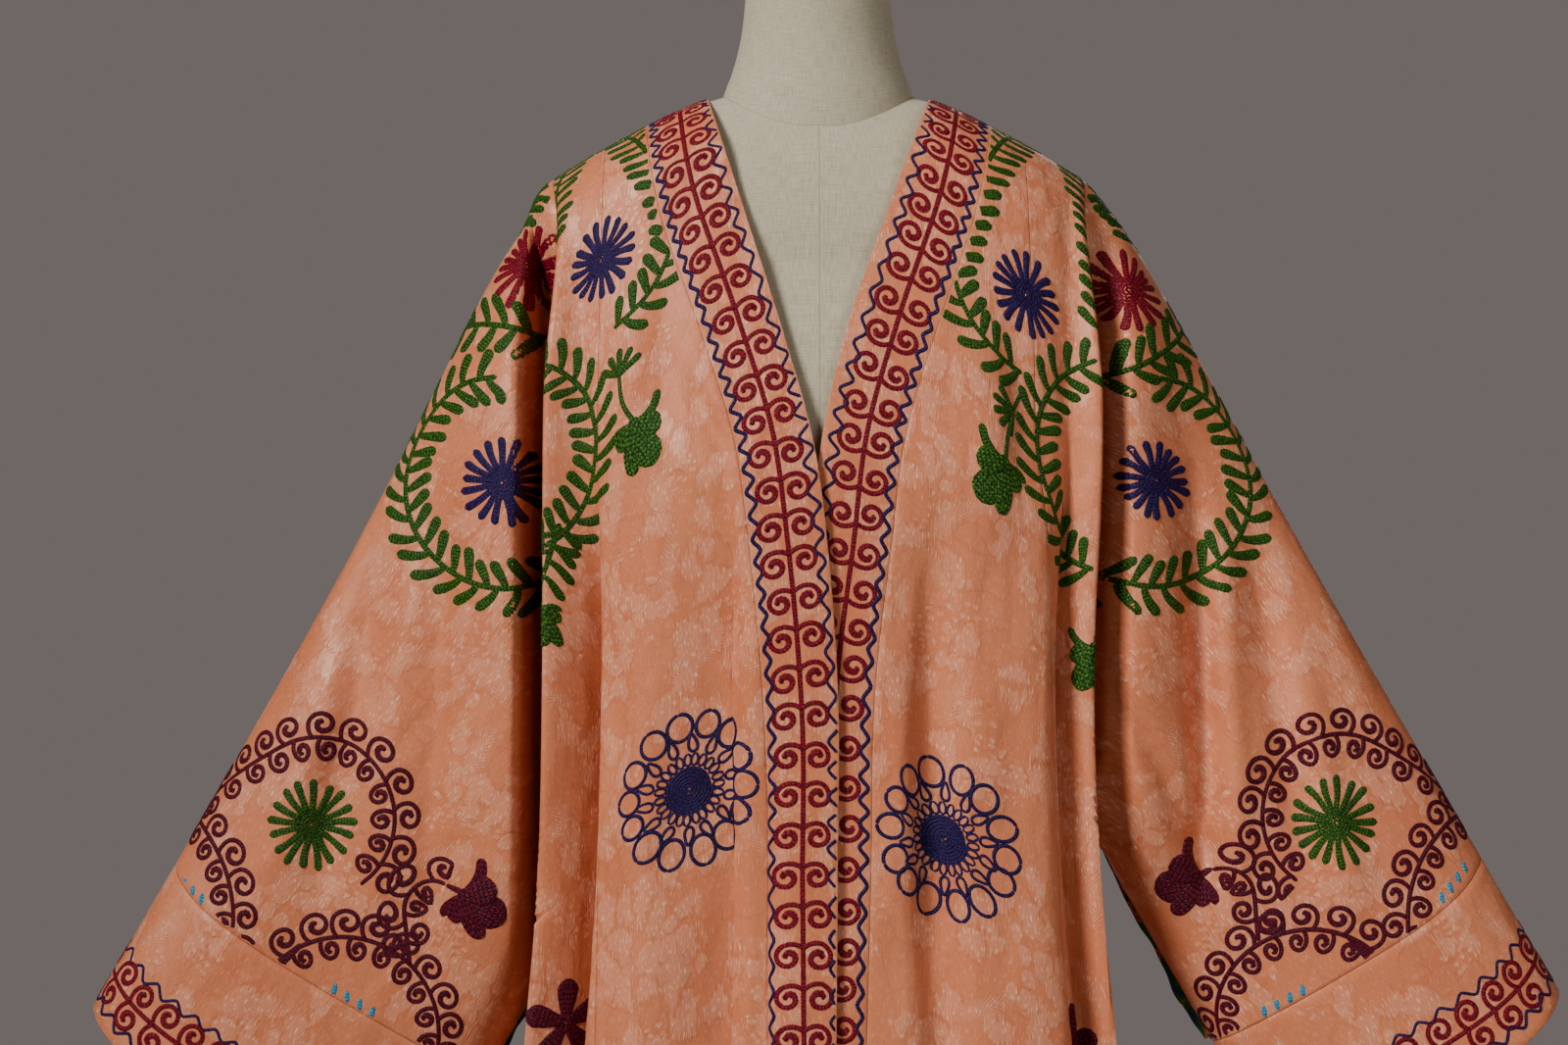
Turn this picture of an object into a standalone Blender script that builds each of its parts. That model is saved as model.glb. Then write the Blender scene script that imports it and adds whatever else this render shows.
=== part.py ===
"""A silk chapan, the open-fronted robe of Central Asia, worn by a linen dress form on a round-based stand.

The robe's surface is worked out from a stack of oval rings that hang from the sloping shoulder line,
with its long folds pushed in or out of them. Each cut piece (front, side, back, band, sleeve, cuff)
is a flat grid laid on its own part of that surface and given the cloth's thickness.
The form faces -Y. Left and right are the viewer's, so "left" is -X. Metres.
"""

import math

import bmesh
import bpy
import numpy as np
from mathutils import Vector

# Cloth
WALL = 0.0015  # silk with its lining
SEAM = 0.0004  # between two cut pieces
HEM_Z = 0.13  # the hem's height over the floor
RIDGE_TOP = 1.452  # where the two shoulder lines would meet in the neck
RIDGE_Y = 0.008  # the shoulder line lies a little behind the middle
SHOULDER_ROUND = 0.05  # height over which the cloth rolls over the shoulder
OVAL = 2.6  # 2 is an ellipse, more is squarer
BAND_TOP_IN, BAND_TOP_OUT = 0.0838, 0.133  # the band on the shoulder line
LAP = 0.0035  # how far the upper front lies out from the lower one
FALL = RIDGE_TOP - HEM_Z

# Shoulder line: distance from the middle, height
RIDGE = ((0.0, 1.452), (0.0838, 1.4385), (0.133, 1.4163), (0.20, 1.378), (0.24, 1.352))

# The robe's rings: height, half-width on the left and on the right, depth in front and behind
RINGS = (
    (1.452, 0.213, 0.213, 0.072, 0.084),
    (1.38, 0.213, 0.213, 0.090, 0.096),
    (1.30, 0.210, 0.214, 0.112, 0.104),
    (1.17, 0.208, 0.212, 0.136, 0.110),
    (1.00, 0.208, 0.203, 0.138, 0.112),
    (0.88, 0.210, 0.206, 0.140, 0.124),
    (0.72, 0.222, 0.220, 0.148, 0.142),
    (0.42, 0.262, 0.262, 0.172, 0.164),
    (0.13, 0.300, 0.300, 0.198, 0.186),
)

# Front edges and the seams that run down beside them: height, then where each lies across the front
EDGES = (
    # height, left edge, left band seam, right edge, right band seam
    (1.4385, -0.0838, -0.133, 0.0838, 0.133),
    (1.3468, -0.0548, -0.1175, 0.0496, 0.1150),
    (1.2520, -0.0250, -0.0850, 0.0175, 0.0830),
    (1.1780, -0.0047, -0.0620, 0.0010, 0.0620),
    (1.0986, 0.0060, -0.0508, -0.0080, 0.0521),
    (1.0000, 0.0130, -0.0420, -0.0160, 0.0400),
    (0.8570, 0.0130, -0.0380, -0.0190, 0.0370),
    (0.7400, 0.0120, -0.0370, -0.0200, 0.0340),
    (0.1300, 0.0120, -0.0400, -0.0210, 0.0350),
)
# The back's seams lie alike on both sides
BACK_SEAMS = ((1.40, 0.157), (1.20, 0.160), (1.00, 0.165), (0.74, 0.172), (0.13, 0.210))
# Seams between a middle panel and its side panel: height, left, right
PANEL_SEAMS = (
    (1.40, -0.160, 0.153),
    (1.20, -0.163, 0.160),
    (1.00, -0.163, 0.171),
    (0.74, -0.164, 0.181),
    (0.13, -0.205, 0.215),
)

# Long folds of the body. Angles are round the ring in degrees, 0 in front, -90 left, 180 behind.
# A fold runs from its start height, is whole at its full height and keeps its depth down to its low height.
FOLDS = (
    # name, angle at top, angle at hem, start, full, depth there, depth at hem, width inward, width outward
    ("left crest", -58.0, -60.0, 1.36, 1.22, 0.012, 0.026, 7.0, 6.0),
    ("left groove", -70.0, -76.0, 1.36, 1.22, -0.016, -0.020, 5.0, 9.0),
    ("left trough", -50.5, -49.0, 1.14, 0.95, -0.013, -0.022, 4.6, 4.4),
    ("left dip", -11.0, -15.0, 1.10, 0.80, -0.004, -0.018, 7.0, 6.0),
    ("left swell", -27.0, -31.0, 1.05, 0.70, 0.005, 0.020, 7.0, 7.0),
    ("right crest", 62.0, 61.0, 1.36, 1.22, 0.012, 0.026, 6.0, 6.0),
    ("right groove", 71.0, 76.0, 1.36, 1.22, -0.016, -0.020, 5.0, 9.0),
    ("right trough", 57.0, 54.0, 1.16, 0.95, -0.013, -0.022, 4.4, 3.8),
    ("right dip", 16.0, 17.0, 1.08, 0.86, -0.012, -0.024, 4.5, 5.5),
    ("right swell", 33.0, 33.0, 1.05, 0.75, 0.007, 0.022, 7.0, 7.0),
    ("left back crest", -121.0, -118.0, 1.36, 1.22, 0.012, 0.026, 6.0, 7.0),
    ("left back groove", -109.0, -101.0, 1.36, 1.22, -0.015, -0.020, 9.0, 5.0),
    ("right back crest", 121.0, 119.0, 1.36, 1.22, 0.012, 0.026, 6.0, 7.0),
    ("right back groove", 109.0, 102.0, 1.36, 1.22, -0.015, -0.020, 9.0, 5.0),
    ("left back trough", -138.0, -137.0, 1.15, 0.85, -0.010, -0.028, 6.0, 6.0),
    ("left back swell", -150.0, -151.0, 1.10, 0.75, 0.008, 0.024, 7.0, 7.0),
    ("back dip", 178.0, 176.0, 1.18, 0.80, -0.012, -0.030, 9.0, 9.0),
    ("right back swell", 153.0, 155.0, 1.08, 0.72, 0.008, 0.024, 7.0, 7.0),
    ("right back trough", 137.0, 137.0, 1.12, 0.80, -0.010, -0.028, 6.0, 6.0),
    ("left side swell", -88.0, -89.0, 0.80, 0.45, 0.004, 0.018, 7.0, 7.0),
    ("right side swell", 88.0, 90.0, 0.84, 0.45, 0.004, 0.018, 7.0, 7.0),
)

# Armholes: angle of their edge, height of their foot on the left and right, height where they start to round
ARM_ANGLE = 68.0
UNDERARM_Z = {-1: 0.817, 1: 0.892}
ARM_ROUND = 0.10

# Sleeves: flat tubes that hang out from the shoulder. Lengths are along the top edge.
SLEEVE_TILT = math.radians(30.4)  # from the vertical
SLEEVE_TOP = {-1: (-0.1826, 1.378), 1: (0.201, 1.378)}
SLEEVE_WIDTH = {-1: 0.284, 1: 0.246}
CUFF_SEAM = {-1: 0.602, 1: 0.594}
CUFF_END = {-1: 0.725, 1: 0.712}
CUFF_DIP, CUFF_DIP_WIDTH = 0.018, 0.030  # the ends hang lower away from the top fold
SLEEVE_THICK, CUFF_THICK = 0.045, 0.056  # half of the tube, front to back
SLEEVE_OVAL = 2.3
SLEEVE_ROWS = (0, 0.05, 0.13, 0.24, 0.36, 0.49, 0.62, 0.76, 0.88, 1)
CUFF_ROWS = (0, 0.5, 1)
SLEEVE_BLEND = 0.16  # length over which the armhole turns into the tube
SHOULDER_BULGE, BULGE_LENGTH = {-1: 0.018, 1: 0.008}, 0.09
DROP_PER_WIDTH = math.cos(SLEEVE_TILT) ** 2 / math.sin(SLEEVE_TILT) + math.sin(SLEEVE_TILT)
SLEEVE_FOLDS = (
    # name, side, face (-1 front), top x, top z, foot x, foot z, depth, half-width
    ("right inner trough", 1, -1, 0.262, 1.10, 0.272, 0.80, -0.009, 0.016),
    ("right outer trough", 1, -1, 0.292, 1.13, 0.330, 0.86, -0.008, 0.017),
    ("right ridge", 1, -1, 0.235, 1.08, 0.236, 0.85, 0.007, 0.015),
    ("left trough", -1, -1, -0.300, 1.06, -0.345, 0.86, -0.005, 0.022),
    ("left inner ridge", -1, -1, -0.235, 1.08, -0.250, 0.80, 0.006, 0.020),
    ("left back trough", -1, 1, -0.285, 1.10, -0.310, 0.82, -0.009, 0.020),
    ("right back trough", 1, 1, 0.285, 1.10, 0.320, 0.82, -0.009, 0.020),
)

# The form: height, half-width, depth in front and behind, squareness
FORM_RINGS = (
    (0.700, 0.160, 0.098, 0.102, 2.3),
    (0.712, 0.168, 0.106, 0.110, 2.3),
    (0.800, 0.170, 0.106, 0.110, 2.3),
    (0.900, 0.156, 0.100, 0.096, 2.2),
    (1.000, 0.126, 0.092, 0.082, 2.2),
    (1.060, 0.128, 0.096, 0.082, 2.2),
    (1.170, 0.152, 0.122, 0.096, 2.5),
    (1.250, 0.160, 0.112, 0.096, 2.6),
    (1.310, 0.168, 0.094, 0.086, 2.6),
)
FORM_SIDES = 40
FORM_ROWS_OVER_SHOULDER = 9
FORM_INSIDE_ROBE = 0.0040
FORM_UNDER_RIDGE = 0.0004
NECK = (
    # height, half-width, half-depth, middle's y
    (1.395, 0.0800, 0.066, 0.010),
    (1.425, 0.0760, 0.064, 0.009),
    (1.442, 0.0715, 0.062, 0.008),
    (1.458, 0.0655, 0.060, 0.007),
    (1.480, 0.0595, 0.057, 0.004),
    (1.510, 0.0555, 0.055, 0.000),
    (1.553, 0.0545, 0.054, -0.003),
    (1.563, 0.0515, 0.051, -0.003),
    (1.566, 0.0460, 0.0455, -0.003),
)
POLE_RADIUS, SOCKET_RADIUS, SOCKET_HEIGHT = 0.0125, 0.026, 0.045
BASE_RADIUS, BASE_HEIGHT = 0.170, 0.012
HUB_RADIUS, HUB_HEIGHT = 0.030, 0.040
FIT = 0.0003

COLOURS = {
    "silk": (0.62, 0.27, 0.15),
    "linen": (0.62, 0.56, 0.44),
    "steel": (0.55, 0.55, 0.55),
}


def through(where, knots, values):
    """A smooth curve through the values, with the slope at each knot taken from its neighbours."""
    knots, values = np.asarray(knots, float), np.asarray(values, float)
    if knots[0] > knots[-1]:
        knots, values = knots[::-1], values[::-1]
    where = np.clip(where, knots[0], knots[-1])
    slope = np.gradient(values, knots)
    i = np.clip(np.searchsorted(knots, where) - 1, 0, len(knots) - 2)
    step = knots[i + 1] - knots[i]
    t = (where - knots[i]) / step
    a, b = values[i], values[i + 1]
    return (
        a * (1 + 2 * t) * (1 - t) ** 2
        + b * t * t * (3 - 2 * t)
        + step * (slope[i] * t * (1 - t) ** 2 - slope[i + 1] * t * t * (1 - t))
    )


def column(table, index):
    return [row[index] for row in table]


def ease(t):
    t = np.clip(t, 0, 1)
    return t * t * (3 - 2 * t)


def power(value, exponent):
    return np.sign(value) * np.abs(value) ** exponent


def half_width(z, angle):
    left = through(z, column(RINGS, 0), column(RINGS, 1))
    right = through(z, column(RINGS, 0), column(RINGS, 2))
    return np.where(angle < 0, left, right)


def ridge_height(angle):
    """The shoulder line's height over the place across the ring that an angle stands for."""
    across = RINGS[0][1] * np.abs(np.sin(angle)) ** (2 / OVAL)
    return through(across, column(RIDGE, 0), column(RIDGE, 1))


def fold_push(angle, z):
    """How far the long folds move the cloth out of its ring."""
    push = np.zeros(np.broadcast(angle, z).shape)
    degrees = np.degrees(angle)
    for _, top, hem, start, full, depth, hem_depth, inward, outward in FOLDS:
        down = np.clip((start - z) / (start - HEM_Z), 0, 1)
        middle = top + (hem - top) * down
        off = (degrees - middle + 180) % 360 - 180
        off = off * (np.sign(middle) if abs(top) < 170 else 1)
        width = np.where(off < 0, inward, outward)
        grown = depth + (hem_depth - depth) * np.clip((full - z) / (full - HEM_Z), 0, 1)
        push = push + grown * ease((start - z) / (start - full)) * np.exp(-((off / width) ** 2))
    return push


def body(angle, fall):
    """A point of the robe's outer face: angle round the ring, and fall from the shoulder line, 0 to FALL."""
    angle, fall = np.broadcast_arrays(np.asarray(angle, float), np.asarray(fall, float))
    angle = (angle + math.pi) % (2 * math.pi) - math.pi
    ridge = ridge_height(angle)
    z = HEM_Z + (ridge - HEM_Z) * (1 - fall / FALL)
    wide = half_width(z, angle)
    behind = np.abs(angle) > math.pi / 2
    front_depth = through(z, column(RINGS, 0), column(RINGS, 3))
    back_depth = through(z, column(RINGS, 0), column(RINGS, 4))
    deep = np.where(behind, back_depth, front_depth)
    across = power(np.sin(angle), 2 / OVAL)
    along = -power(np.cos(angle), 2 / OVAL)
    over = np.arccos(1 - np.clip((ridge - z) / SHOULDER_ROUND, 0, 1))
    x, y = wide * across, deep * along * np.sin(over)
    out_x, out_y = x / wide**2, deep * along / deep**2
    length = np.hypot(out_x, out_y)
    push = fold_push(angle, z)
    return np.stack(
        (x + push * out_x / length, y + RIDGE_Y + push * out_y / length * np.sin(over), z), -1
    )


def line_across(table, index):
    return lambda z: through(z, column(table, 0), column(table, index))


def front_line(table, index, fall):
    """Angles of a seam or edge given by its places across the front."""
    angle = np.zeros(np.shape(fall))
    across = line_across(table, index)
    for _ in range(6):
        ridge = ridge_height(angle)
        z = HEM_Z + (ridge - HEM_Z) * (1 - fall / FALL)
        x = across(z)
        share = np.clip(np.abs(x) / half_width(z, x), 0, 1)
        angle = np.sign(x) * np.arcsin(share ** (OVAL / 2))
    return angle


def fall_at(z, angle):
    ridge = ridge_height(angle)
    return FALL * (ridge - z) / (ridge - HEM_Z)


def arm_line(side, fall):
    """Angle of a front side panel's outer edge: the armhole, then the side seam."""
    foot = fall_at(UNDERARM_Z[side], math.pi / 2)
    start = fall_at(UNDERARM_Z[side] + ARM_ROUND, math.radians(ARM_ANGLE))
    down = np.clip((fall - start) / (foot - start), 0, 1)
    return np.radians(ARM_ANGLE + (90 - ARM_ANGLE) * (1 - np.sqrt(1 - down**2)))


def body_rows():
    """Falls of the grid's rows: close together over the shoulder and at the armholes' feet."""
    over = [SHOULDER_ROUND * (1 - math.cos(math.radians(a))) for a in (0, 18, 36, 54, 72)]
    feet = [float(fall_at(UNDERARM_Z[side], math.pi / 2)) for side in (1, -1)]
    start = SHOULDER_ROUND * 1.3
    chest = list(np.linspace(start, feet[0] - 0.075, 9))
    near = [feet[0] - 0.04, feet[0] - 0.015, feet[0], feet[1] - 0.045, feet[1] - 0.016, feet[1]]
    skirt = list(np.linspace(feet[1] + 0.05, FALL, 9))
    return np.array(over + chest + near + skirt)


ROWS = body_rows()
BAND_SHARES = (0.0, 0.35, 0.7, 1.0)
MIDDLE_SHARES = (0.0, 0.2, 0.4, 0.58, 0.76, 0.9, 1.0)
SIDE_SHARES = (0.0, 0.16, 0.33, 0.52, 0.76, 1.0)
BACK_SIDE_SHARES = (0.0, 0.25, 0.5, 0.75, 1.0)
ARM_STRIP = 5.0  # degrees at the armhole's edge that the last columns share
NECK_COLUMNS = 12
BAND_WIDTH = 0.054
NECK_BACK_DROP = 0.066  # from the shoulder line down to the band's inner edge, along the cloth
QUARTER_RUN = 0.1086  # the cloth's run over the rounded shoulder
FOOT_ROW = {side: int(np.argmin(np.abs(ROWS - fall_at(UNDERARM_Z[side], math.pi / 2)))) for side in (1, -1)}


def new_object(name, mesh, colour, roughness=0.6, metallic=0.0):
    thing = bpy.data.objects.new(name, mesh)
    bpy.data.collections["chapan_on_form"].objects.link(thing)
    material = bpy.data.materials.get(colour)
    if material is None:
        material = bpy.data.materials.new(colour)
        material.use_nodes = True
        shader = material.node_tree.nodes["Principled BSDF"]
        shader.inputs["Base Color"].default_value = (*COLOURS[colour], 1)
        shader.inputs["Roughness"].default_value = roughness
        shader.inputs["Metallic"].default_value = metallic
    mesh.materials.append(material)
    return thing


def cloth(name, outer, normals):
    """A flat grid laid on rows of points, with a second skin inside it one wall away. Rows run hem to top."""
    rows, columns = outer.shape[0] - 1, outer.shape[1] - 1
    bm = bmesh.new()
    bmesh.ops.create_grid(bm, x_segments=columns, y_segments=rows, size=0.5)
    across = bm.verts.layers.int.new("across")
    up = bm.verts.layers.int.new("up")
    for vert in bm.verts:
        vert[across] = round((vert.co.x + 0.5) * columns)
        vert[up] = round((vert.co.y + 0.5) * rows)
        vert.co = Vector(outer[vert[up], vert[across]])
    bmesh.ops.remove_doubles(bm, verts=bm.verts, dist=1e-5)
    skin = list(bm.faces)
    inside = bmesh.ops.extrude_face_region(bm, geom=skin + list(bm.edges), use_keep_orig=True)
    for vert in [item for item in inside["geom"] if isinstance(item, bmesh.types.BMVert)]:
        vert.co -= Vector(normals[vert[up], vert[across]]) * WALL
    bmesh.ops.recalc_face_normals(bm, faces=bm.faces)
    mesh = bpy.data.meshes.new(name)
    bm.to_mesh(mesh)
    bm.free()
    return new_object(name, mesh, "silk", 0.45)


def body_panel(name, tracks, lift=None, top_fall=None):
    """A cut piece of the body. Its columns follow tracks of angles from the hem up to the shoulder line."""
    fall = ROWS[::-1][:, None]
    angle = tracks(fall)
    fall = fall + np.zeros_like(angle)
    if top_fall is not None:
        first = top_fall(angle[-1])
        fall = first + (FALL - first) * fall / FALL
    step = 1e-3
    run = np.linalg.norm(body(angle + step, fall) - body(angle - step, fall), axis=-1) / (2 * step)
    angle[:, 0] += SEAM / 2 / run[:, 0]
    angle[:, -1] -= SEAM / 2 / run[:, -1]
    points, normals = body(angle, fall), outward(angle, fall)
    if lift is not None:
        points = points + normals * lift(points)[..., None]
    points[..., 1] += np.where(fall < 1e-6, SEAM / 2 * np.where(np.abs(angle) > math.pi / 2, 1, -1), 0)
    return cloth(name, points, normals)


def between(near, far, shares):
    """Tracks that share out the angle between two lines."""
    return lambda fall: near(fall) + (far(fall) - near(fall)) * np.asarray(shares)[None, :]


def beside_arm(seam, arm, shares):
    """Tracks that stay with the folds up to the armhole's edge, then share out what is left."""

    def tracks(fall):
        inner = seam(fall) + (math.radians(ARM_ANGLE - ARM_STRIP) - seam(fall)) * np.asarray(shares)[None, :]
        strip = inner[:, -1:] + (arm(fall) - inner[:, -1:]) * np.array([[0.3, 0.62, 1.0]])
        return np.concatenate((inner, strip), axis=1)

    return tracks


def outward(angle, fall):
    """Unit normal of the robe's surface."""
    step = 1e-4
    around = body(angle + step, fall) - body(angle - step, fall)
    near = np.clip(fall / 2, 1e-7, step)
    down = body(angle, np.minimum(fall + near, FALL)) - body(angle, np.maximum(fall - near, 0))
    over_top = np.where(np.abs(angle) > math.pi / 2, 1.0, -1.0)[..., None] * (0.0, 1.0, 0.0)
    down = np.where(fall[..., None] < 1e-6, over_top, down)
    normal = np.cross(down, around)
    return normal / np.linalg.norm(normal, axis=-1)[..., None]


def make_fronts():
    """Each front is a band, a middle panel and a side panel; the left front lies over the right one."""
    for side, word, edge, seam, panel, lap in ((-1, "left", 1, 2, 1, LAP), (1, "right", 3, 4, 2, -LAP)):
        front_edge = lambda fall: side * front_line(EDGES, edge, fall)
        band_seam = lambda fall: side * front_line(EDGES, seam, fall)
        panel_seam = lambda fall: side * front_line(PANEL_SEAMS, panel, fall)
        arm = lambda fall: arm_line(side, fall)

        def lift(points):
            near = 1 - ease((np.abs(points[..., 0]) - 0.055) / 0.06)
            return lap * near * ease((1.27 - points[..., 2]) / 0.12)

        pieces = (
            (f"front_band_{word}", between(front_edge, band_seam, BAND_SHARES)),
            (f"front_middle_{word}", between(band_seam, panel_seam, MIDDLE_SHARES)),
            (f"front_side_{word}", beside_arm(panel_seam, arm, SIDE_SHARES)),
        )
        for name, tracks in pieces:
            turned = (lambda fall: tracks(fall)) if side > 0 else (lambda fall: -tracks(fall)[:, ::-1])
            body_panel(name, turned, lift)


def make_back():
    """The back is a wide middle panel under the neck band, and a side panel at each arm."""
    seam = lambda fall: front_line(BACK_SEAMS, 1, fall)
    for side, word in ((-1, "left"), (1, "right")):
        tracks = beside_arm(seam, lambda fall: arm_line(side, fall), BACK_SIDE_SHARES)
        if side > 0:
            body_panel(f"back_side_{word}", lambda fall: math.pi - tracks(fall)[:, ::-1])
        else:
            body_panel(f"back_side_{word}", lambda fall: tracks(fall) - math.pi)

    # Columns of the middle panel meet the neck band's own columns at the band's seam.
    turns = np.linspace(0, math.pi, NECK_COLUMNS + 1)
    across = BAND_TOP_OUT * -np.cos(turns)
    shares = np.sign(across) * np.arcsin((np.abs(across) / RINGS[0][1]) ** (OVAL / 2)) / seam(np.zeros(1))[0]
    shares = np.concatenate(([-1.0, -0.9], shares, [0.9, 1.0]))
    tracks = lambda fall: math.pi + seam(fall) * shares[None, :]
    body_panel("back_middle", tracks, top_fall=lambda angle: neck_fall(back_x(angle), 1.0))


def back_x(angle):
    return RINGS[0][1] * np.abs(np.sin(angle)) ** (2 / OVAL)


def neck_fall(x, share):
    """Fall of the line that is this share across the neck band, at a place across the back."""
    reach = BAND_TOP_IN + (BAND_TOP_OUT - BAND_TOP_IN) * share
    drop = NECK_BACK_DROP + BAND_WIDTH * share
    run = drop * np.sqrt(np.clip(1 - (x / reach) ** 2, 0, 1))
    turn = np.minimum(run / QUARTER_RUN, 1) * math.pi / 2
    return SHOULDER_ROUND * (1 - np.cos(turn)) + np.maximum(run - QUARTER_RUN, 0)


def make_neck_band():
    """The band goes on round the back of the neck, from one shoulder line to the other."""
    turn = np.linspace(0, math.pi, NECK_COLUMNS + 1)[None, :]
    inset = SEAM / 2 / (BAND_TOP_OUT - BAND_TOP_IN)
    share = np.linspace(1 - 2 * inset, 0, 4)[:, None]
    x = -(BAND_TOP_IN + (BAND_TOP_OUT - BAND_TOP_IN) * share) * np.cos(turn)
    fall = neck_fall(x, share)
    fall[:, 0] = fall[:, -1] = 0
    angle = np.where(x < 0, -1, 1) * (math.pi - np.arcsin((np.abs(x) / RINGS[0][1]) ** (OVAL / 2)))
    points, normals = body(angle, fall), outward(angle, fall)
    points[..., 1] += np.where(fall < 1e-6, SEAM / 2, 0)
    cloth("neck_band_back", points, normals)


def sleeve_axes(side):
    axis = np.array([side * math.sin(SLEEVE_TILT), 0, -math.cos(SLEEVE_TILT)])
    inward = np.array([-side * math.cos(SLEEVE_TILT), 0, -math.sin(SLEEVE_TILT)])
    top = np.array([SLEEVE_TOP[side][0], RIDGE_Y, SLEEVE_TOP[side][1]])
    return top, axis, inward


def sleeve_fold(side, face, points):
    push = np.zeros(len(points))
    for _, fold_side, fold_face, top_x, top_z, foot_x, foot_z, depth, width in SLEEVE_FOLDS:
        if fold_side != side:
            continue
        run = np.array([foot_x - top_x, foot_z - top_z])
        length = np.hypot(*run)
        run /= length
        off = points[:, (0, 2)] - (top_x, top_z)
        along = off @ run / length
        aside = off @ np.array([run[1], -run[0]])
        fade = ease(along / 0.35) * ease((1 - along) / 0.35)
        push += np.where(face == fold_face, depth, 0) * fade * np.exp(-((aside / width) ** 2))
    return push


def tube(side, width_share, face, length):
    """A point of the sleeve's outer face: share across from the top fold, face, and length down the sleeve."""
    top, axis, inward = sleeve_axes(side)
    width = SLEEVE_WIDTH[side]
    down = width_share * width
    thick = SLEEVE_THICK + (CUFF_THICK - SLEEVE_THICK) * length / CUFF_END[side]
    section = (1 - np.abs(2 * width_share - 1) ** SLEEVE_OVAL) ** (1 / SLEEVE_OVAL)
    bulge = SHOULDER_BULGE[side] * length / BULGE_LENGTH * np.exp(1 - length / BULGE_LENGTH)
    bulge = bulge * np.clip(1 - down / 0.12, 0, 1) ** 2
    points = top + np.outer(length, axis) + np.outer(down - bulge, inward)
    points[:, 1] += face * thick * section
    points[:, 1] += face * sleeve_fold(side, face, points) * ease(section * 1.4)
    return points


def sleeve_stations(side):
    """The armhole's points and the share across the sleeve that each one runs to."""
    rows = ROWS[: FOOT_ROW[side] + 1]
    front = body(side * arm_line(side, rows), rows)
    back = body(side * (math.pi - arm_line(side, rows)), rows)
    share = (front[0, 2] - front[:, 2]) / (front[0, 2] - front[-1, 2])
    loop = np.concatenate((front, back[-2:0:-1]))
    shares = np.concatenate((share, share[-2:0:-1]))
    faces = np.concatenate((np.full(len(front), -1), np.full(len(back) - 2, 1)))
    loop[:, 0] += side * SEAM * (1 + (1 - shares) ** 4)
    loop[:, 2] += SEAM * 0.6
    return loop, shares, faces


def cuff_dip(share, side):
    return CUFF_DIP * (1 - np.exp(-share * SLEEVE_WIDTH[side] / CUFF_DIP_WIDTH))


def sleeve_point(side, station, t):
    """Station round the armhole, and t from 0 at the armhole to 1 at the cuff seam."""
    loop, shares, faces = sleeve_stations(side)
    count = len(loop)
    share, face, rim = shares[station % count], faces[station % count], loop[station % count]
    start = share * SLEEVE_WIDTH[side] / math.tan(SLEEVE_TILT)
    end = CUFF_SEAM[side] + cuff_dip(share, side) - SEAM / 2
    length = start + (end - start) * t
    blend = np.minimum(SLEEVE_BLEND, (end - start) * 0.9)
    away = (rim - tube(side, share, face, start)) * (1 - ease((length - start) / blend))[:, None]
    return tube(side, share, face, length) + away


def cuff_point(side, station, t):
    """Station round the sleeve, and t from 0 at the cuff's seam to 1 at its open end."""
    loop, shares, faces = sleeve_stations(side)
    share, face = shares[station % len(loop)], faces[station % len(loop)]
    low = CUFF_SEAM[side] + SEAM / 2
    return tube(side, share, face, low + (CUFF_END[side] - low) * t + cuff_dip(share, side))


def armhole_normals(side):
    """Normals of the body's cloth round the armhole, in the order of the sleeve's stations."""
    rows = ROWS[: FOOT_ROW[side] + 1]
    front = outward(side * arm_line(side, rows), rows)
    back = outward(side * (math.pi - arm_line(side, rows)), rows)
    return np.concatenate((front, back[-2:0:-1], front[:1]))


def tube_normals(points):
    """Unit normals of a tube whose columns go once round."""
    ring = points[:, :-1]
    around = np.roll(ring, -1, axis=1) - np.roll(ring, 1, axis=1)
    down = np.gradient(ring, axis=0)
    normal = np.cross(down, around)
    normal = normal / np.linalg.norm(normal, axis=-1)[..., None]
    middle = ring.mean(axis=1, keepdims=True)
    normal = normal * np.sign(((ring - middle) * normal).sum())
    return np.concatenate((normal, normal[:, :1]), axis=1)


def make_sleeves():
    """Each sleeve is a wide flat tube set in the armhole, with a plain cuff sewn round its end."""
    for side, word in ((-1, "left"), (1, "right")):
        count = len(sleeve_stations(side)[0])
        ring = np.arange(count + 1)
        sleeve = np.array([sleeve_point(side, ring, t) for t in SLEEVE_ROWS])
        cuff = np.array([cuff_point(side, ring, t) for t in CUFF_ROWS])
        normals = tube_normals(np.concatenate((sleeve, cuff)))
        rim = armhole_normals(side)
        mitre = normals[0] + rim
        mitre = mitre / np.linalg.norm(mitre, axis=-1)[:, None]
        normals[0] = mitre / np.maximum((mitre * normals[0]).sum(axis=-1), 0.75)[:, None]
        last = len(sleeve) - 1
        seam = normals[last] + normals[last + 1]
        normals[last] = normals[last + 1] = seam / np.linalg.norm(seam, axis=-1)[:, None]
        cloth(f"sleeve_{word}", sleeve, normals[: len(sleeve)])
        cloth(f"cuff_{word}", cuff, normals[len(sleeve) :])


def lathe(name, profile, colour, steps=40, roughness=0.5, metallic=0.0):
    """A turned piece: its profile runs down the outer side at +X."""
    mesh = bpy.data.meshes.new(name)
    bm = bmesh.new()
    verts = [bm.verts.new((r, 0, z)) for r, z in profile]
    for a, b in zip(verts, verts[1:]):
        bm.edges.new((a, b))
    bm.to_mesh(mesh)
    bm.free()
    thing = new_object(name, mesh, colour, roughness, metallic)
    turn = thing.modifiers.new("turn", "SCREW")
    turn.steps = turn.render_steps = steps
    turn.use_merge_vertices = True
    turn.merge_threshold = 1e-5
    turn.use_smooth_shade = True
    return thing


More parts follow.
